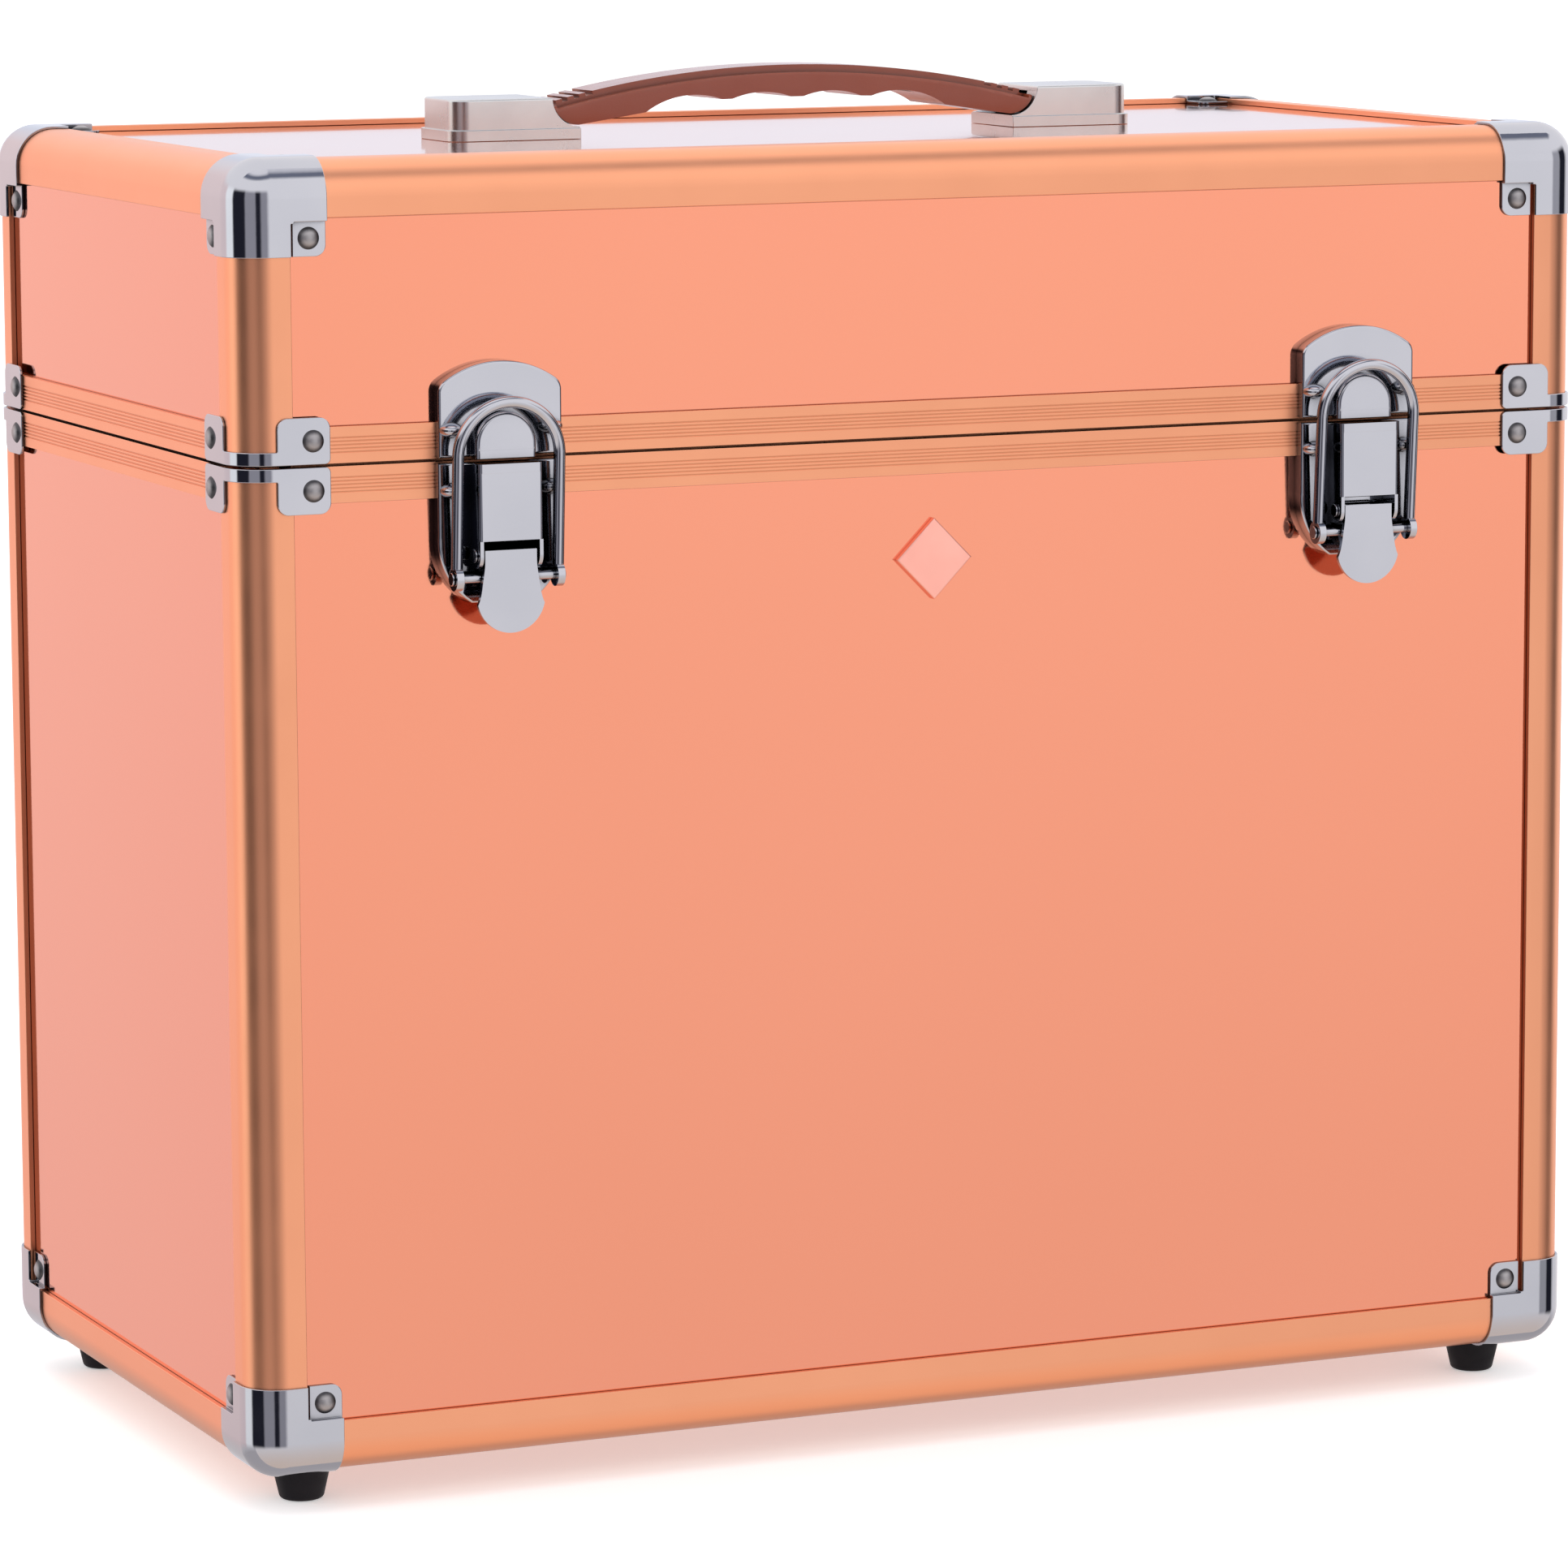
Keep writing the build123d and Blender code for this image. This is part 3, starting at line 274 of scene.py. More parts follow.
def rim_group():
    """0 on the steep rim of a dome that faces along an axis, 1 on its flat middle: a mask for painting shade
    on the rim.
    """
    group, start, end = new_group("dome rim", {"Steep": 0.84, "Flat": 0.9})
    nodes, links = group.nodes, group.links
    place = nodes.new("ShaderNodeTexCoord")
    size = vector_node(nodes, "ABSOLUTE")
    parts = nodes.new("ShaderNodeSeparateXYZ")
    wider, widest = math_node(nodes, "MAXIMUM"), math_node(nodes, "MAXIMUM")
    spread = spread_node(nodes)
    links.new(place.outputs["Normal"], size.inputs[0])
    links.new(size.outputs["Vector"], parts.inputs[0])
    links.new(parts.outputs["X"], wider.inputs[0])
    links.new(parts.outputs["Y"], wider.inputs[1])
    links.new(wider.outputs[0], widest.inputs[0])
    links.new(parts.outputs["Z"], widest.inputs[1])
    links.new(widest.outputs[0], spread.inputs["Value"])
    links.new(start.outputs["Steep"], spread.inputs["From Min"])
    links.new(start.outputs["Flat"], spread.inputs["From Max"])
    links.new(spread.outputs["Result"], end.inputs["Value"])
    return group


def border_group():
    """0 along the border of the window between Low and High, 1 inside it."""
    inputs = {"Low": (-1.0, -1.0, -1.0), "High": (1.0, 1.0, 1.0), "Width": 0.5 * mm}
    group, start, end = new_group("border line", inputs)
    nodes, links = group.nodes, group.links
    place = nodes.new("ShaderNodeTexCoord")
    above, below = vector_node(nodes, "SUBTRACT"), vector_node(nodes, "SUBTRACT")
    nearest = vector_node(nodes, "MINIMUM")
    links.new(place.outputs["Object"], above.inputs[0])
    links.new(start.outputs["Low"], above.inputs[1])
    links.new(start.outputs["High"], below.inputs[0])
    links.new(place.outputs["Object"], below.inputs[1])
    links.new(above.outputs["Vector"], nearest.inputs[0])
    links.new(below.outputs["Vector"], nearest.inputs[1])
    parts = nodes.new("ShaderNodeSeparateXYZ")
    links.new(nearest.outputs["Vector"], parts.inputs[0])
    pair, all_three = math_node(nodes, "MINIMUM"), math_node(nodes, "MINIMUM")
    links.new(parts.outputs["X"], pair.inputs[0])
    links.new(parts.outputs["Y"], pair.inputs[1])
    links.new(pair.outputs[0], all_three.inputs[0])
    links.new(parts.outputs["Z"], all_three.inputs[1])
    spread = spread_node(nodes)
    links.new(all_three.outputs[0], spread.inputs["Value"])
    links.new(start.outputs["Width"], spread.inputs["From Max"])
    links.new(spread.outputs["Result"], end.inputs["Value"])
    return group


clouds = cloud_group()
crevices = crevice_group()
rim = rim_group()
border = border_group()
grain = grain_group()
tint = tint_group()


def new_material(name, metallic=0.0, coat=0.0, coat_roughness=0.03):
    material = bpy.data.materials.new(name)
    material.use_nodes = True
    shader = material.node_tree.nodes["Principled BSDF"]
    shader.inputs["Metallic"].default_value = metallic
    shader.inputs["Coat Weight"].default_value = coat
    shader.inputs["Coat Roughness"].default_value = coat_roughness
    return material, shader


def use_group(material, group, **values):
    node = material.node_tree.nodes.new("ShaderNodeGroup")
    node.node_tree = group
    for label, value in values.items():
        node.inputs[label].default_value = value
    return node


def colour_drift(material, shader, first, second, scale):
    drift = use_group(material, tint, First=(*first, 1.0), Second=(*second, 1.0), Scale=scale)
    material.node_tree.links.new(drift.outputs["Color"], shader.inputs["Base Color"])


def roughness_clouds(material, shader, low, high, scale):
    cloud = use_group(material, clouds, Scale=scale, Low=low, High=high)
    material.node_tree.links.new(cloud.outputs["Value"], shader.inputs["Roughness"])


def surface_grain(material, shader, stretch, distance, detail=2.0):
    texture = use_group(material, grain, Stretch=stretch, Detail=detail)
    bump = material.node_tree.nodes.new("ShaderNodeBump")
    bump.inputs["Distance"].default_value = distance
    bump.inputs["Strength"].default_value = 1.0
    material.node_tree.links.new(texture.outputs["Value"], bump.inputs["Height"])
    material.node_tree.links.new(bump.outputs["Normal"], shader.inputs["Normal"])


def darken(material, shader, mask, dark):
    """Paints shade: mixes the base colour towards a dark one where the mask's value is 0."""
    nodes, links = material.node_tree.nodes, material.node_tree.links
    light = shader.inputs["Base Color"].links[0].from_socket
    mix = mix_node(nodes)
    mix.inputs["A"].default_value = (*dark, 1.0)
    links.new(mask, mix.inputs["Factor"])
    links.new(light, mix.inputs["B"])
    links.new(mix.outputs["Result"], shader.inputs["Base Color"])


# Paints shade into the base colour where other surfaces stand close
def crevice_shade(material, shader, distance, darkest):
    shade = use_group(material, crevices, Distance=distance, Darkest=darkest)
    darken(material, shader, shade.outputs["Value"], (0.0, 0.0, 0.0))


def board_window(node):
    """The part of a board that shows between its bars, as its lowest and highest corner."""
    half = node.split("_")[0]
    far = 1.0
    low = [*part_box("base_post_front_left")[1][:2], -far]
    high = [*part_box("base_post_back_right")[0][:2], far]
    if "panel" in node:
        rail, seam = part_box(f"{half}_rail_front"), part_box(f"{half}_seam_bars")
        low[2], high[2] = (rail[1][2], seam[0][2]) if half == "base" else (seam[1][2], rail[0][2])
        across = 1 if node.endswith(("front", "back")) else 0
        low[across], high[across] = -far, far
    return low, high


def copper_board(node):
    """Mirror bright laminate with a painted shadow line along the bars."""
    material, shader = new_material(f"copper laminate {node}", metallic=1.0, coat=0.5, coat_roughness=0.02)
    colour_drift(material, shader, (0.90, 0.338, 0.209), (0.887, 0.329, 0.202), 4.0)
    roughness_clouds(material, shader, 0.07, 0.1, 9.0)
    surface_grain(material, shader, (900.0, 900.0, 900.0), 0.004 * mm)
    low, high = board_window(node)
    # Painted shadow: a dark line on the board where each bar meets it
    painted_shadow_line = use_group(material, border, Low=low, High=high, Width=painted_shadow_width)
    darken(material, shader, painted_shadow_line.outputs["Value"], (0.10, 0.012, 0.006))
    return material


def copper_bar(name="anodised copper bar"):
    material, shader = new_material(name, metallic=1.0)
    colour_drift(material, shader, (1.0, 0.45, 0.26), (0.98, 0.435, 0.25), 12.0)
    roughness_clouds(material, shader, 0.33, 0.36, 60.0)
    surface_grain(material, shader, (5500.0, 5500.0, 5500.0), 0.0015 * mm)
    return material


def copper_seam_bar():
    """The bar's finish with painted shade in its grooves, and painted dark brown shade at the seam where
    other pieces stand close.
    """
    material = copper_bar("anodised copper seam bar")
    nodes, links = material.node_tree.nodes, material.node_tree.links
    shader = nodes["Principled BSDF"]

    def worked_out(operation, first, *values):
        node = math_node(nodes, operation)
        links.new(first, node.inputs[0])
        for number, value in enumerate(values, 1):
            if isinstance(value, float):
                node.inputs[number].default_value = value
            else:
                links.new(value, node.inputs[number])
        return node.outputs[0]

    place = nodes.new("ShaderNodeTexCoord")
    parts = nodes.new("ShaderNodeSeparateXYZ")
    links.new(place.outputs["Object"], parts.inputs[0])
    from_seam = worked_out("ABSOLUTE", worked_out("SUBTRACT", parts.outputs["Z"], seam_height))
    from_first = worked_out("SUBTRACT", from_seam, groove_centre - 2 * groove_pitch)
    to_groove = worked_out("PINGPONG", from_first, groove_pitch / 2)
    in_groove = worked_out("LESS_THAN", to_groove, groove_width / 2)
    in_band = worked_out("COMPARE", from_seam, groove_centre, groove_band_half)
    between = worked_out("SUBTRACT", worked_out("MULTIPLY", in_groove, in_band), 1.0)
    # Painted shade: each groove is drawn as a darker copper line
    darken(material, shader, worked_out("ABSOLUTE", between), (0.72, 0.30, 0.165))
    # Painted shade: dark brown in the seam gap, where other pieces stand close
    painted_seam_shade = use_group(material, crevices, Distance=2.5 * mm, Darkest=0.0)
    away = worked_out("GREATER_THAN", from_seam, seam_gap_reach)
    darken(material, shader, worked_out("MAXIMUM", away, painted_seam_shade.outputs["Value"]), (0.02, 0.008, 0.005))
    return material


def bright_chrome():
    material, shader = new_material("polished chrome", metallic=1.0)
    colour_drift(material, shader, (0.55, 0.573, 0.636), (0.52, 0.546, 0.61), 30.0)
    roughness_clouds(material, shader, 0.03, 0.09, 90.0)
    surface_grain(material, shader, (260.0, 260.0, 260.0), 0.012 * mm)
    # Painted shade in the chrome's recesses, such as between a latch's bail and boss
    crevice_shade(material, shader, 6 * mm, 0.04)
    return material


def rivet_metal():
    material, shader = new_material("plated rivet", metallic=1.0)
    colour_drift(material, shader, (0.46, 0.455, 0.475), (0.41, 0.405, 0.425), 200.0)
    roughness_clouds(material, shader, 0.4, 0.46, 500.0)
    surface_grain(material, shader, (1500.0, 1500.0, 1500.0), 0.008 * mm)
    # Painted shade around each rivet head, where the plate stands close
    crevice_shade(material, shader, 1.5 * mm, 0.1)
    # Painted shade: the dome's steep rim is darkened, standing in for the dark surroundings it reflects
    dome = use_group(material, rim, Steep=0.8, Flat=0.93)
    darken(material, shader, dome.outputs["Value"], (0.10, 0.10, 0.11))
    return material


def screw_metal():
    material, shader = new_material("zinc plated steel", metallic=1.0)
    colour_drift(material, shader, (0.5, 0.5, 0.51), (0.4, 0.4, 0.41), 300.0)
    roughness_clouds(material, shader, 0.25, 0.4, 400.0)
    surface_grain(material, shader, (2500.0, 2500.0, 2500.0), 0.03 * mm)
    return material


def brushed_nickel():
    material, shader = new_material("brushed nickel", metallic=1.0)
    colour_drift(material, shader, (0.67, 0.69, 0.71), (0.63, 0.65, 0.67), 60.0)
    roughness_clouds(material, shader, 0.24, 0.28, 120.0)
    surface_grain(material, shader, (3600.0, 3600.0, 240.0), 0.004 * mm)
    return material


def grip_vinyl():
    material, shader = new_material("brown vinyl", coat=0.8, coat_roughness=0.12)
    colour_drift(material, shader, (0.31, 0.056, 0.018), (0.29, 0.05, 0.015), 40.0)
    roughness_clouds(material, shader, 0.34, 0.46, 150.0)
    surface_grain(material, shader, (1600.0, 1600.0, 1600.0), 0.03 * mm)
    # Painted shade in the step under the raised strip and between the ribs
    crevice_shade(material, shader, 2.5 * mm, 0.25)
    return material


def foot_rubber():
    material, shader = new_material("black rubber")
    colour_drift(material, shader, (0.005, 0.005, 0.008), (0.007, 0.006, 0.01), 80.0)
    shader.inputs["Specular IOR Level"].default_value = 0.22
    roughness_clouds(material, shader, 0.5, 0.65, 200.0)
    surface_grain(material, shader, (2200.0, 2200.0, 2200.0), 0.04 * mm)
    return material


def rose_metal():
    material, shader = new_material("rose badge metal", metallic=1.0)
    colour_drift(material, shader, (1.0, 0.50, 0.42), (0.98, 0.47, 0.39), 90.0)
    roughness_clouds(material, shader, 0.12, 0.2, 200.0)
    surface_grain(material, shader, (3000.0, 3000.0, 3000.0), 0.01 * mm)
    return material


def lining_foam():
    material, shader = new_material("black foam")
    colour_drift(material, shader, (0.02, 0.02, 0.023), (0.03, 0.03, 0.034), 60.0)
    roughness_clouds(material, shader, 0.85, 0.95, 100.0)
    surface_grain(material, shader, (1400.0, 1400.0, 1400.0), 0.2 * mm, detail=5.0)
    return material


def tray_plastic():
    material, shader = new_material("black moulded plastic")
    colour_drift(material, shader, (0.026, 0.026, 0.028), (0.034, 0.034, 0.037), 30.0)
    roughness_clouds(material, shader, 0.4, 0.55, 90.0)
    surface_grain(material, shader, (1800.0, 1800.0, 1800.0), 0.06 * mm)
    return material


def mill_aluminium():
    material, shader = new_material("mill aluminium", metallic=1.0)
    colour_drift(material, shader, (0.7, 0.7, 0.72), (0.62, 0.62, 0.64), 50.0)
    roughness_clouds(material, shader, 0.3, 0.42, 120.0)
    surface_grain(material, shader, (2400.0, 60.0, 2400.0), 0.03 * mm)
    return material


finishes = {
    "copper_bar": copper_bar(),
    "chrome": bright_chrome(),
    "rivet_steel": rivet_metal(),
    "screw_steel": screw_metal(),
    "brushed_nickel": brushed_nickel(),
    "grip_vinyl": grip_vinyl(),
    "foot_rubber": foot_rubber(),
    "rose_badge": rose_metal(),
    "lining_foam": lining_foam(),
    "tray_plastic": tray_plastic(),
    "ledge_aluminium": mill_aluminium(),
}
slot_of = {part["node"]: part["material_slot"] for part in frame["record"]["subparts"]}
body_of = {node: body for body, nodes in frame["record"]["behaviour"]["bodies"].items() for node in nodes}
seam_finishes = dict.fromkeys(("base_seam_bars", "lid_seam_bars"), copper_seam_bar())


def finish_of(node):
    """The material of a node: each board has its own painted shadow line along its bars, and the seam bars
    have their grooves and painted seam shade.
    """
    slot = slot_of[node]
    if slot == "copper_board":
        return copper_board(node)
    if node in seam_finishes:
        return seam_finishes[node]
    return finishes[slot]


for node, packed in frame["nodes"].items():
    packed.data.materials.clear()
    packed.data.materials.append(finish_of(node))

# Metal and rubber pieces get broken edges. The boards, the lining, the tray, its ledges, the screws and the
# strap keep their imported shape, and the grip is carved below.
refined_edges = {
    "chrome": chrome_edge, "brushed_nickel": nickel_edge, "copper_bar": bar_edge, "rose_badge": bar_edge,
    "rivet_steel": rivet_edge, "foot_rubber": rubber_edge,
}
for node in sorted(frame["nodes"]):
    slot = slot_of[node]
    if slot in refined_edges:
        look = seam_finishes.get(node, finishes[slot])
        edge = eyelet_edge if node.startswith("latch_bail") else refined_edges[slot]
        dress(refined(node, edge), look, body_of[node], slot, node)


# Handle
def arc_block(name, centre, inner, outer, half_depth, middle_y, start_angle, end_angle):
    """A block bent along the grip's arch: a flat section, spun about the arch's centre."""
    deselect_all()
    radius = (inner + outer) / 2
    place = centre + radius * Vector((math.sin(start_angle), 0, math.cos(start_angle)))
    place.y = middle_y
    bpy.ops.mesh.primitive_plane_add(size=1, location=place, rotation=(0, start_angle - math.pi / 2, 0))
    piece = bpy.context.object
    piece.name = name
    piece.scale = (outer - inner, 2 * half_depth, 1)
    bpy.ops.object.transform_apply(location=True, rotation=True, scale=True)
    steps = max(2, int(math.degrees(end_angle - start_angle)) * 2)
    bpy.ops.object.mode_set(mode="EDIT")
    bpy.ops.mesh.select_all(action="SELECT")
    bpy.ops.mesh.spin(steps=steps, angle=start_angle - end_angle, center=centre, axis=(0, 1, 0))
    bpy.ops.mesh.select_all(action="SELECT")
    bpy.ops.mesh.remove_doubles(threshold=arc_weld_distance)
    bpy.ops.mesh.normals_make_consistent(inside=False)
    bpy.ops.object.mode_set(mode="OBJECT")
    return piece


def ribbed_grip():
    """The moulded grip: a raised strip along its top and three ribs across each end."""
    low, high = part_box("handle_grip")
    middle_y = (low[1] + high[1]) / 2
    half_length = high[0]
    rise = 9.1 * mm
    radius = (half_length ** 2 + rise ** 2) / (2 * rise)
    centre = Vector((0, middle_y, high[2] - radius))
    strip_half_width = 7.6 * mm
    shoulder_step = 2.1 * mm
    rib_step = 1.0 * mm
    strip_end = 60.5 * mm
    shoulder_end = 73 * mm
    rib_half = 0.95 * mm
    rib_places = (63.6 * mm, 67.1 * mm, 70.6 * mm)
    margin = 1 * mm
    outer = radius + 3 * margin
    gap_half_width = 14 * mm
    shoulder_width = (high[1] - low[1]) / 2 - strip_half_width + margin
    cutters = []
    for side in (-1, 1):
        shoulder_y = middle_y + side * (strip_half_width + shoulder_width / 2)
        reach = math.asin(shoulder_end / radius)
        cutters.append(arc_block(
            "shoulder", centre, radius - shoulder_step, outer, shoulder_width / 2, shoulder_y, -reach, reach))
    edges = [strip_end]
    for place in rib_places:
        edges += [place - rib_half, place + rib_half]
    edges.append(half_length + 2 * margin)
    for start, end in zip(edges[::2], edges[1::2]):
        for side in (-1, 1):
            first, last = sorted((side * math.asin(start / radius), side * math.asin(end / radius)))
            cutters.append(arc_block(
                "between ribs", centre, radius - rib_step, outer, gap_half_width, middle_y, first, last))
    grip = merged_copy("handle_grip")
    cut_away(grip, cutters)
    break_edges(grip, vinyl_edge, segments=3, angle=28)
    return dress(grip, finishes["grip_vinyl"], "handle", "grip_vinyl", "handle_grip")


ribbed_grip()


# Latch details
latch_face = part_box("base_post_front_left")[0][1]
latch_middles = {
    place: (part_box(f"catch_plate_{place}")[0][0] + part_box(f"catch_plate_{place}")[1][0]) / 2
    for place in ("left", "right")
}
hump_radius = 3.3 * mm
hump_flatness = 0.6
hump_length = 1.1
hump_across = 14 * mm
hump_up = 8 * mm
plate_front = 2.4 * mm


def pressed_hump():
    """A low round hump pressed in a latch plate over each rivet: a flattened ball, cut off at its back."""
    deselect_all()
    bpy.ops.mesh.primitive_uv_sphere_add(
        segments=32, ring_count=16, radius=hump_radius, rotation=(math.pi / 2, 0, 0))
    hump = bpy.context.object
    hump.scale = (1, hump_flatness, hump_length)
    bpy.ops.object.transform_apply(location=True, rotation=True, scale=True)
    bpy.ops.object.mode_set(mode="EDIT")
    bpy.ops.mesh.select_all(action="SELECT")
    bpy.ops.mesh.bisect(plane_co=(0, 0, 0), plane_no=(0, 1, 0), clear_outer=True, use_fill=True)
    bpy.ops.object.mode_set(mode="OBJECT")
    bpy.ops.object.shade_smooth_by_angle(angle=math.radians(60))
    return hump


def latch_humps():
    """Four humps on each latch, two beside the catch and two beside the hood."""
    first = pressed_hump()
    for place, middle in latch_middles.items():
        plates = ((f"catch_plate_{place}", "lid", hump_up), (f"latch_plate_{place}", "case", -hump_up))
        for plate, body, up in plates:
            for side, across in (("left", -hump_across), ("right", hump_across)):
                hump = first.copy()
                hump.data = first.data.copy()
                bpy.context.scene.collection.objects.link(hump)
                hump.name = f"{plate}_hump_{side}"
                hump.location = (middle + across, latch_face - plate_front, seam_height + up)
                make_active(hump)
                bpy.ops.object.transform_apply(location=True)
                dress(hump, finishes["chrome"], body, "chrome")
    bpy.data.objects.remove(first)


def square_lip(name, body, middle, half_width, front, bottom, top, corner):
    """Fills the rounded end of a catch or hood, so that the two meet in one narrow dark line."""
    deselect_all()
    back = front / 2
    place = (middle, latch_face - (front + back) / 2, seam_height + (bottom + top) / 2)
    bpy.ops.mesh.primitive_cube_add(size=1, location=place)
    lip = bpy.context.object
    lip.name = name
    lip.scale = (2 * half_width, front - back, top - bottom)
    bpy.ops.object.transform_apply(location=True, rotation=True, scale=True)
    bpy.ops.object.mode_set(mode="EDIT")
    bpy.ops.mesh.select_mode(type="EDGE")
    bpy.ops.mesh.select_all(action="DESELECT")
    bpy.ops.object.mode_set(mode="OBJECT")
    for edge in lip.data.edges:
        first, second = (lip.data.vertices[number].co for number in edge.vertices)
        upright = abs(first.z - second.z) > (top - bottom) / 2
        edge.select = upright and first.y < latch_face - (front + back) / 2
    bpy.ops.object.mode_set(mode="EDIT")
    bpy.ops.mesh.bevel(offset=corner, segments=5, affect="EDGES")
    bpy.ops.object.mode_set(mode="OBJECT")
    break_edges(lip, lip_edge, angle=50)
    return dress(lip, finishes["chrome"], body, "chrome")


def latch_lips():
    """A lip under each catch's D and one on top of each hood, measured from the latch's middle and seam."""
    boss = dict(half_width=8.61 * mm, front=6.71 * mm, bottom=0.45 * mm, top=2.6 * mm, corner=1.3 * mm)
    hood = dict(half_width=8.91 * mm, front=9.71 * mm, bottom=-3.2 * mm, top=-0.75 * mm, corner=0.9 * mm)
    for place, middle in latch_middles.items():
        square_lip(f"catch_boss_{place}_lip", "lid", middle, **boss)
        square_lip(f"latch_hood_{place}_lip", "case", middle, **hood)


latch_humps()
latch_lips()


# Studio
wall_brightness = 1.1
overhead_place = (-0.3, -0.4, 2.6)
overhead_size = 2.4
overhead_power = 14
floor_radius = 8
floor_drop = 0.2 * mm
floor_glow = 0.42


def place_camera():
    data = bpy.data.cameras.new("camera")
    data.sensor_width = sensor_width
    data.lens = focal_length
    data.clip_start = 0.05
    data.clip_end = 50
    camera = bpy.data.objects.new("camera", data)
    bpy.context.scene.collection.objects.link(camera)
    forward = Vector((
        math.sin(camera_yaw) * math.cos(camera_pitch),
        math.cos(camera_yaw) * math.cos(camera_pitch),
        math.sin(camera_pitch),
    ))
    level = Vector((math.cos(camera_yaw), -math.sin(camera_yaw), 0))
    upright = level.cross(forward)
    right = math.cos(camera_roll) * level + math.sin(camera_roll) * upright
    top = -math.sin(camera_roll) * level + math.cos(camera_roll) * upright
    turn = Matrix((right, top, -forward)).transposed()
    camera.matrix_world = Matrix.Translation(camera_place) @ turn.to_4x4()
    bpy.context.scene.camera = camera


def colour_ramp(nodes, stops):
    """A ramp node with a colour at each stop, whose places run from 0 to 1."""
    ramp = nodes.new("ShaderNodeValToRGB")
    elements = ramp.color_ramp.elements
    while len(elements) < len(stops):
        elements.new(0.5)
    for element, (place, colour) in zip(elements, stops):
        element.position = place
        element.color = (*colour, 1.0)
    return ramp


def height_place(angle):
    """Where an elevation in degrees lies on a ramp that runs with the height of a unit direction."""
    return (math.sin(math.radians(angle)) + 1) / 2


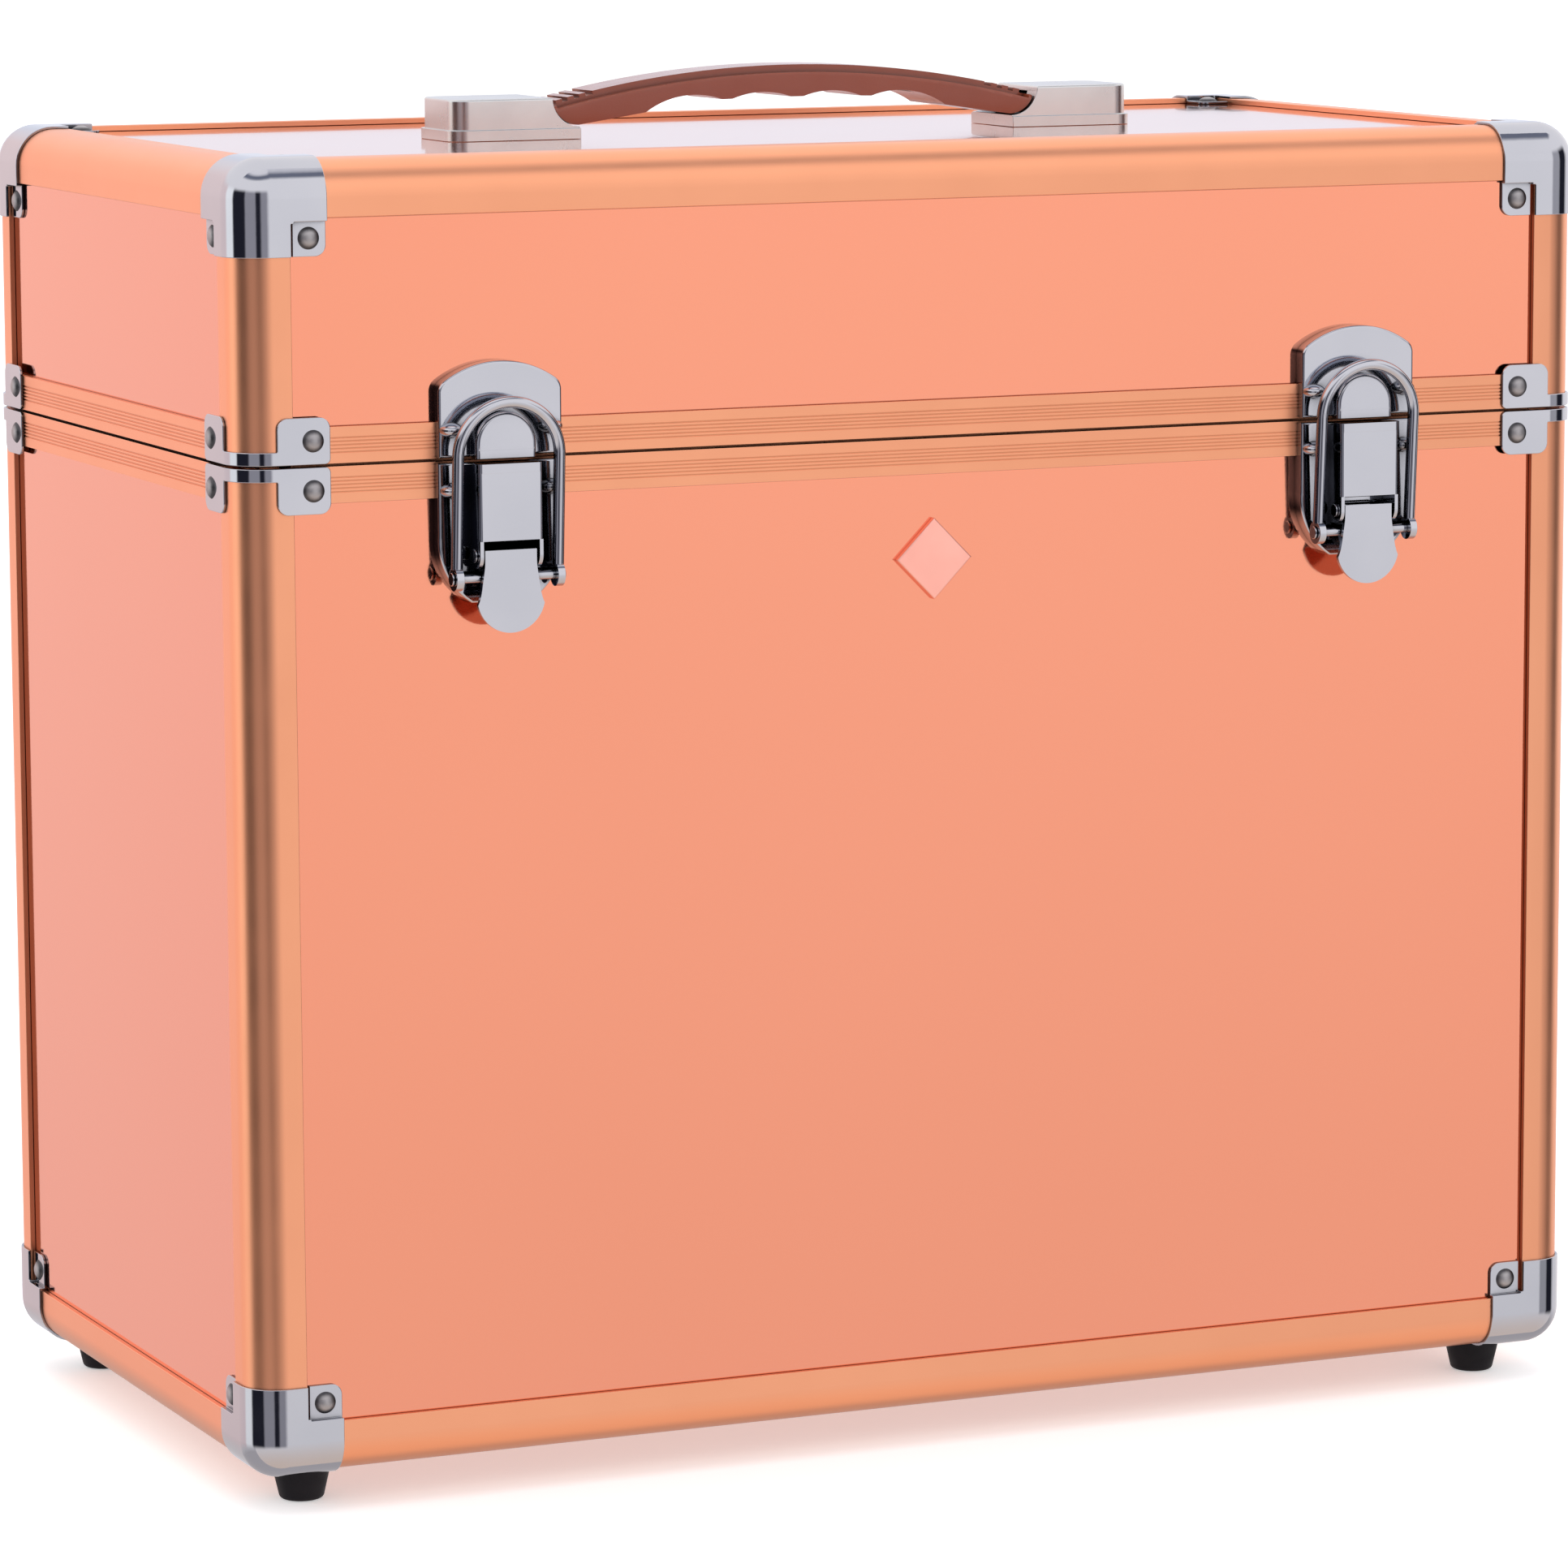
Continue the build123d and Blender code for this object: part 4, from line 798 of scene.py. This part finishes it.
def studio_room():
    """White walls with a strip light on the left, dark gaps between the lights and a dark flag high in front.
    The camera itself sees plain white."""
    world = bpy.data.worlds.new("studio")
    bpy.context.scene.world = world
    world.use_nodes = True
    nodes, links = world.node_tree.nodes, world.node_tree.links
    nodes.clear()
    place = nodes.new("ShaderNodeTexCoord")
    parts = nodes.new("ShaderNodeSeparateXYZ")
    links.new(place.outputs["Generated"], parts.inputs[0])
    heading = math_node(nodes, "ARCTAN2")
    links.new(parts.outputs["Y"], heading.inputs[0])
    links.new(parts.outputs["X"], heading.inputs[1])
    turn = spread_node(nodes, -math.pi, math.pi)
    links.new(heading.outputs[0], turn.inputs["Value"])

    white = (1.03, 0.98, 0.97)
    lilac = (0.80, 0.82, 0.91)
    pale = (0.99, 0.79, 0.765)
    gap = (0.02, 0.02, 0.03)
    dim = (0.38, 0.36, 0.39)
    grey = (0.48, 0.46, 0.48)
    strip = (1.2, 1.18, 1.15)
    around = [
        (-180, gap), (-177, gap), (-151, gap), (-146, dim), (-120, dim), (-116, gap), (-107, gap),
        (-101, dim), (-88, dim), (-80, white), (-57, white), (-52, grey), (-33, grey), (-27, gap), (-8, gap),
        (4, white), (40, white), (55, lilac), (78, lilac), (98, pale), (143, pale), (150, strip),
        (170, strip), (176, gap),
    ]
    low = colour_ramp(nodes, [((angle + 180) / 360, colour) for angle, colour in around])
    links.new(turn.outputs["Result"], low.inputs["Fac"])

    rise = spread_node(nodes, -1, 1)
    links.new(parts.outputs["Z"], rise.inputs["Value"])
    flag = (0.2, 0.22, 0.28)
    under_front = (0.80, 0.66, 0.55)
    under_back = (0.5, 0.48, 0.48)
    full = (1, 1, 1)
    nearly_full = (0.97, 0.97, 0.97)
    over_front = [
        (-90, under_front), (-14, (0.83, 0.83, 0.83)), (-3, nearly_full), (2, full), (50, full),
        (57, flag), (63, flag), (72, (0.95, 0.95, 0.97)), (90, full),
    ]
    over_back = [
        (-90, under_back), (-30, under_back), (-14, (0.84, 0.83, 0.83)), (-3, nearly_full), (2, full),
    ]
    high_front = colour_ramp(nodes, [(height_place(angle), colour) for angle, colour in over_front])
    high_back = colour_ramp(nodes, [(height_place(angle), colour) for angle, colour in over_back])
    links.new(rise.outputs["Result"], high_front.inputs["Fac"])
    links.new(rise.outputs["Result"], high_back.inputs["Fac"])
    in_front = math_node(nodes, "LESS_THAN")
    in_front.inputs[1].default_value = 0.0
    links.new(parts.outputs["Y"], in_front.inputs[0])
    high = mix_node(nodes)
    links.new(in_front.outputs[0], high.inputs["Factor"])
    links.new(high_back.outputs["Color"], high.inputs["A"])
    links.new(high_front.outputs["Color"], high.inputs["B"])

    steepness = math_node(nodes, "ABSOLUTE")
    links.new(parts.outputs["Z"], steepness.inputs[0])
    steep = spread_node(nodes, 0.25, 0.45)
    steep.interpolation_type = "SMOOTHSTEP"
    links.new(steepness.outputs[0], steep.inputs["Value"])
    blend = mix_node(nodes)
    links.new(steep.outputs["Result"], blend.inputs["Factor"])
    links.new(low.outputs["Color"], blend.inputs["A"])
    blend.inputs["B"].default_value = (*white, 1.0)
    room = mix_node(nodes)
    room.blend_type = "MULTIPLY"
    room.inputs["Factor"].default_value = 1.0
    links.new(blend.outputs["Result"], room.inputs["A"])
    links.new(high.outputs["Result"], room.inputs["B"])

    seen = nodes.new("ShaderNodeLightPath")
    backdrop = mix_node(nodes)
    links.new(seen.outputs["Is Camera Ray"], backdrop.inputs["Factor"])
    links.new(room.outputs["Result"], backdrop.inputs["A"])
    backdrop.inputs["B"].default_value = (1.0, 1.0, 1.0, 1.0)
    background = nodes.new("ShaderNodeBackground")
    background.inputs["Strength"].default_value = wall_brightness
    links.new(backdrop.outputs["Result"], background.inputs["Color"])
    output = nodes.new("ShaderNodeOutputWorld")
    links.new(background.outputs["Background"], output.inputs["Surface"])


def soft_overhead_light():
    data = bpy.data.lights.new("overhead softbox", "AREA")
    data.shape = "DISK"
    data.size = overhead_size
    data.energy = overhead_power
    light = bpy.data.objects.new("overhead softbox", data)
    light.location = overhead_place
    light.visible_glossy = False
    bpy.context.scene.collection.objects.link(light)


def pale_floor():
    """A wide pale disc just under the feet."""
    deselect_all()
    bpy.ops.mesh.primitive_circle_add(
        vertices=96, radius=floor_radius, fill_type="NGON", location=(0, 0, -floor_drop))
    floor = bpy.context.object
    floor.name = "floor"
    bpy.ops.object.transform_apply(location=True)
    material, shader = new_material("pale floor")
    shader.inputs["Base Color"].default_value = (0.93, 0.94, 0.95, 1.0)
    shader.inputs["Roughness"].default_value = 0.9
    shader.inputs["Emission Color"].default_value = (1.0, 1.0, 1.0, 1.0)
    shader.inputs["Emission Strength"].default_value = floor_glow
    floor.data.materials.append(material)
    floor.visible_glossy = False


place_camera()
studio_room()
soft_overhead_light()
pale_floor()
bpy.context.scene.view_settings.view_transform = "Standard"
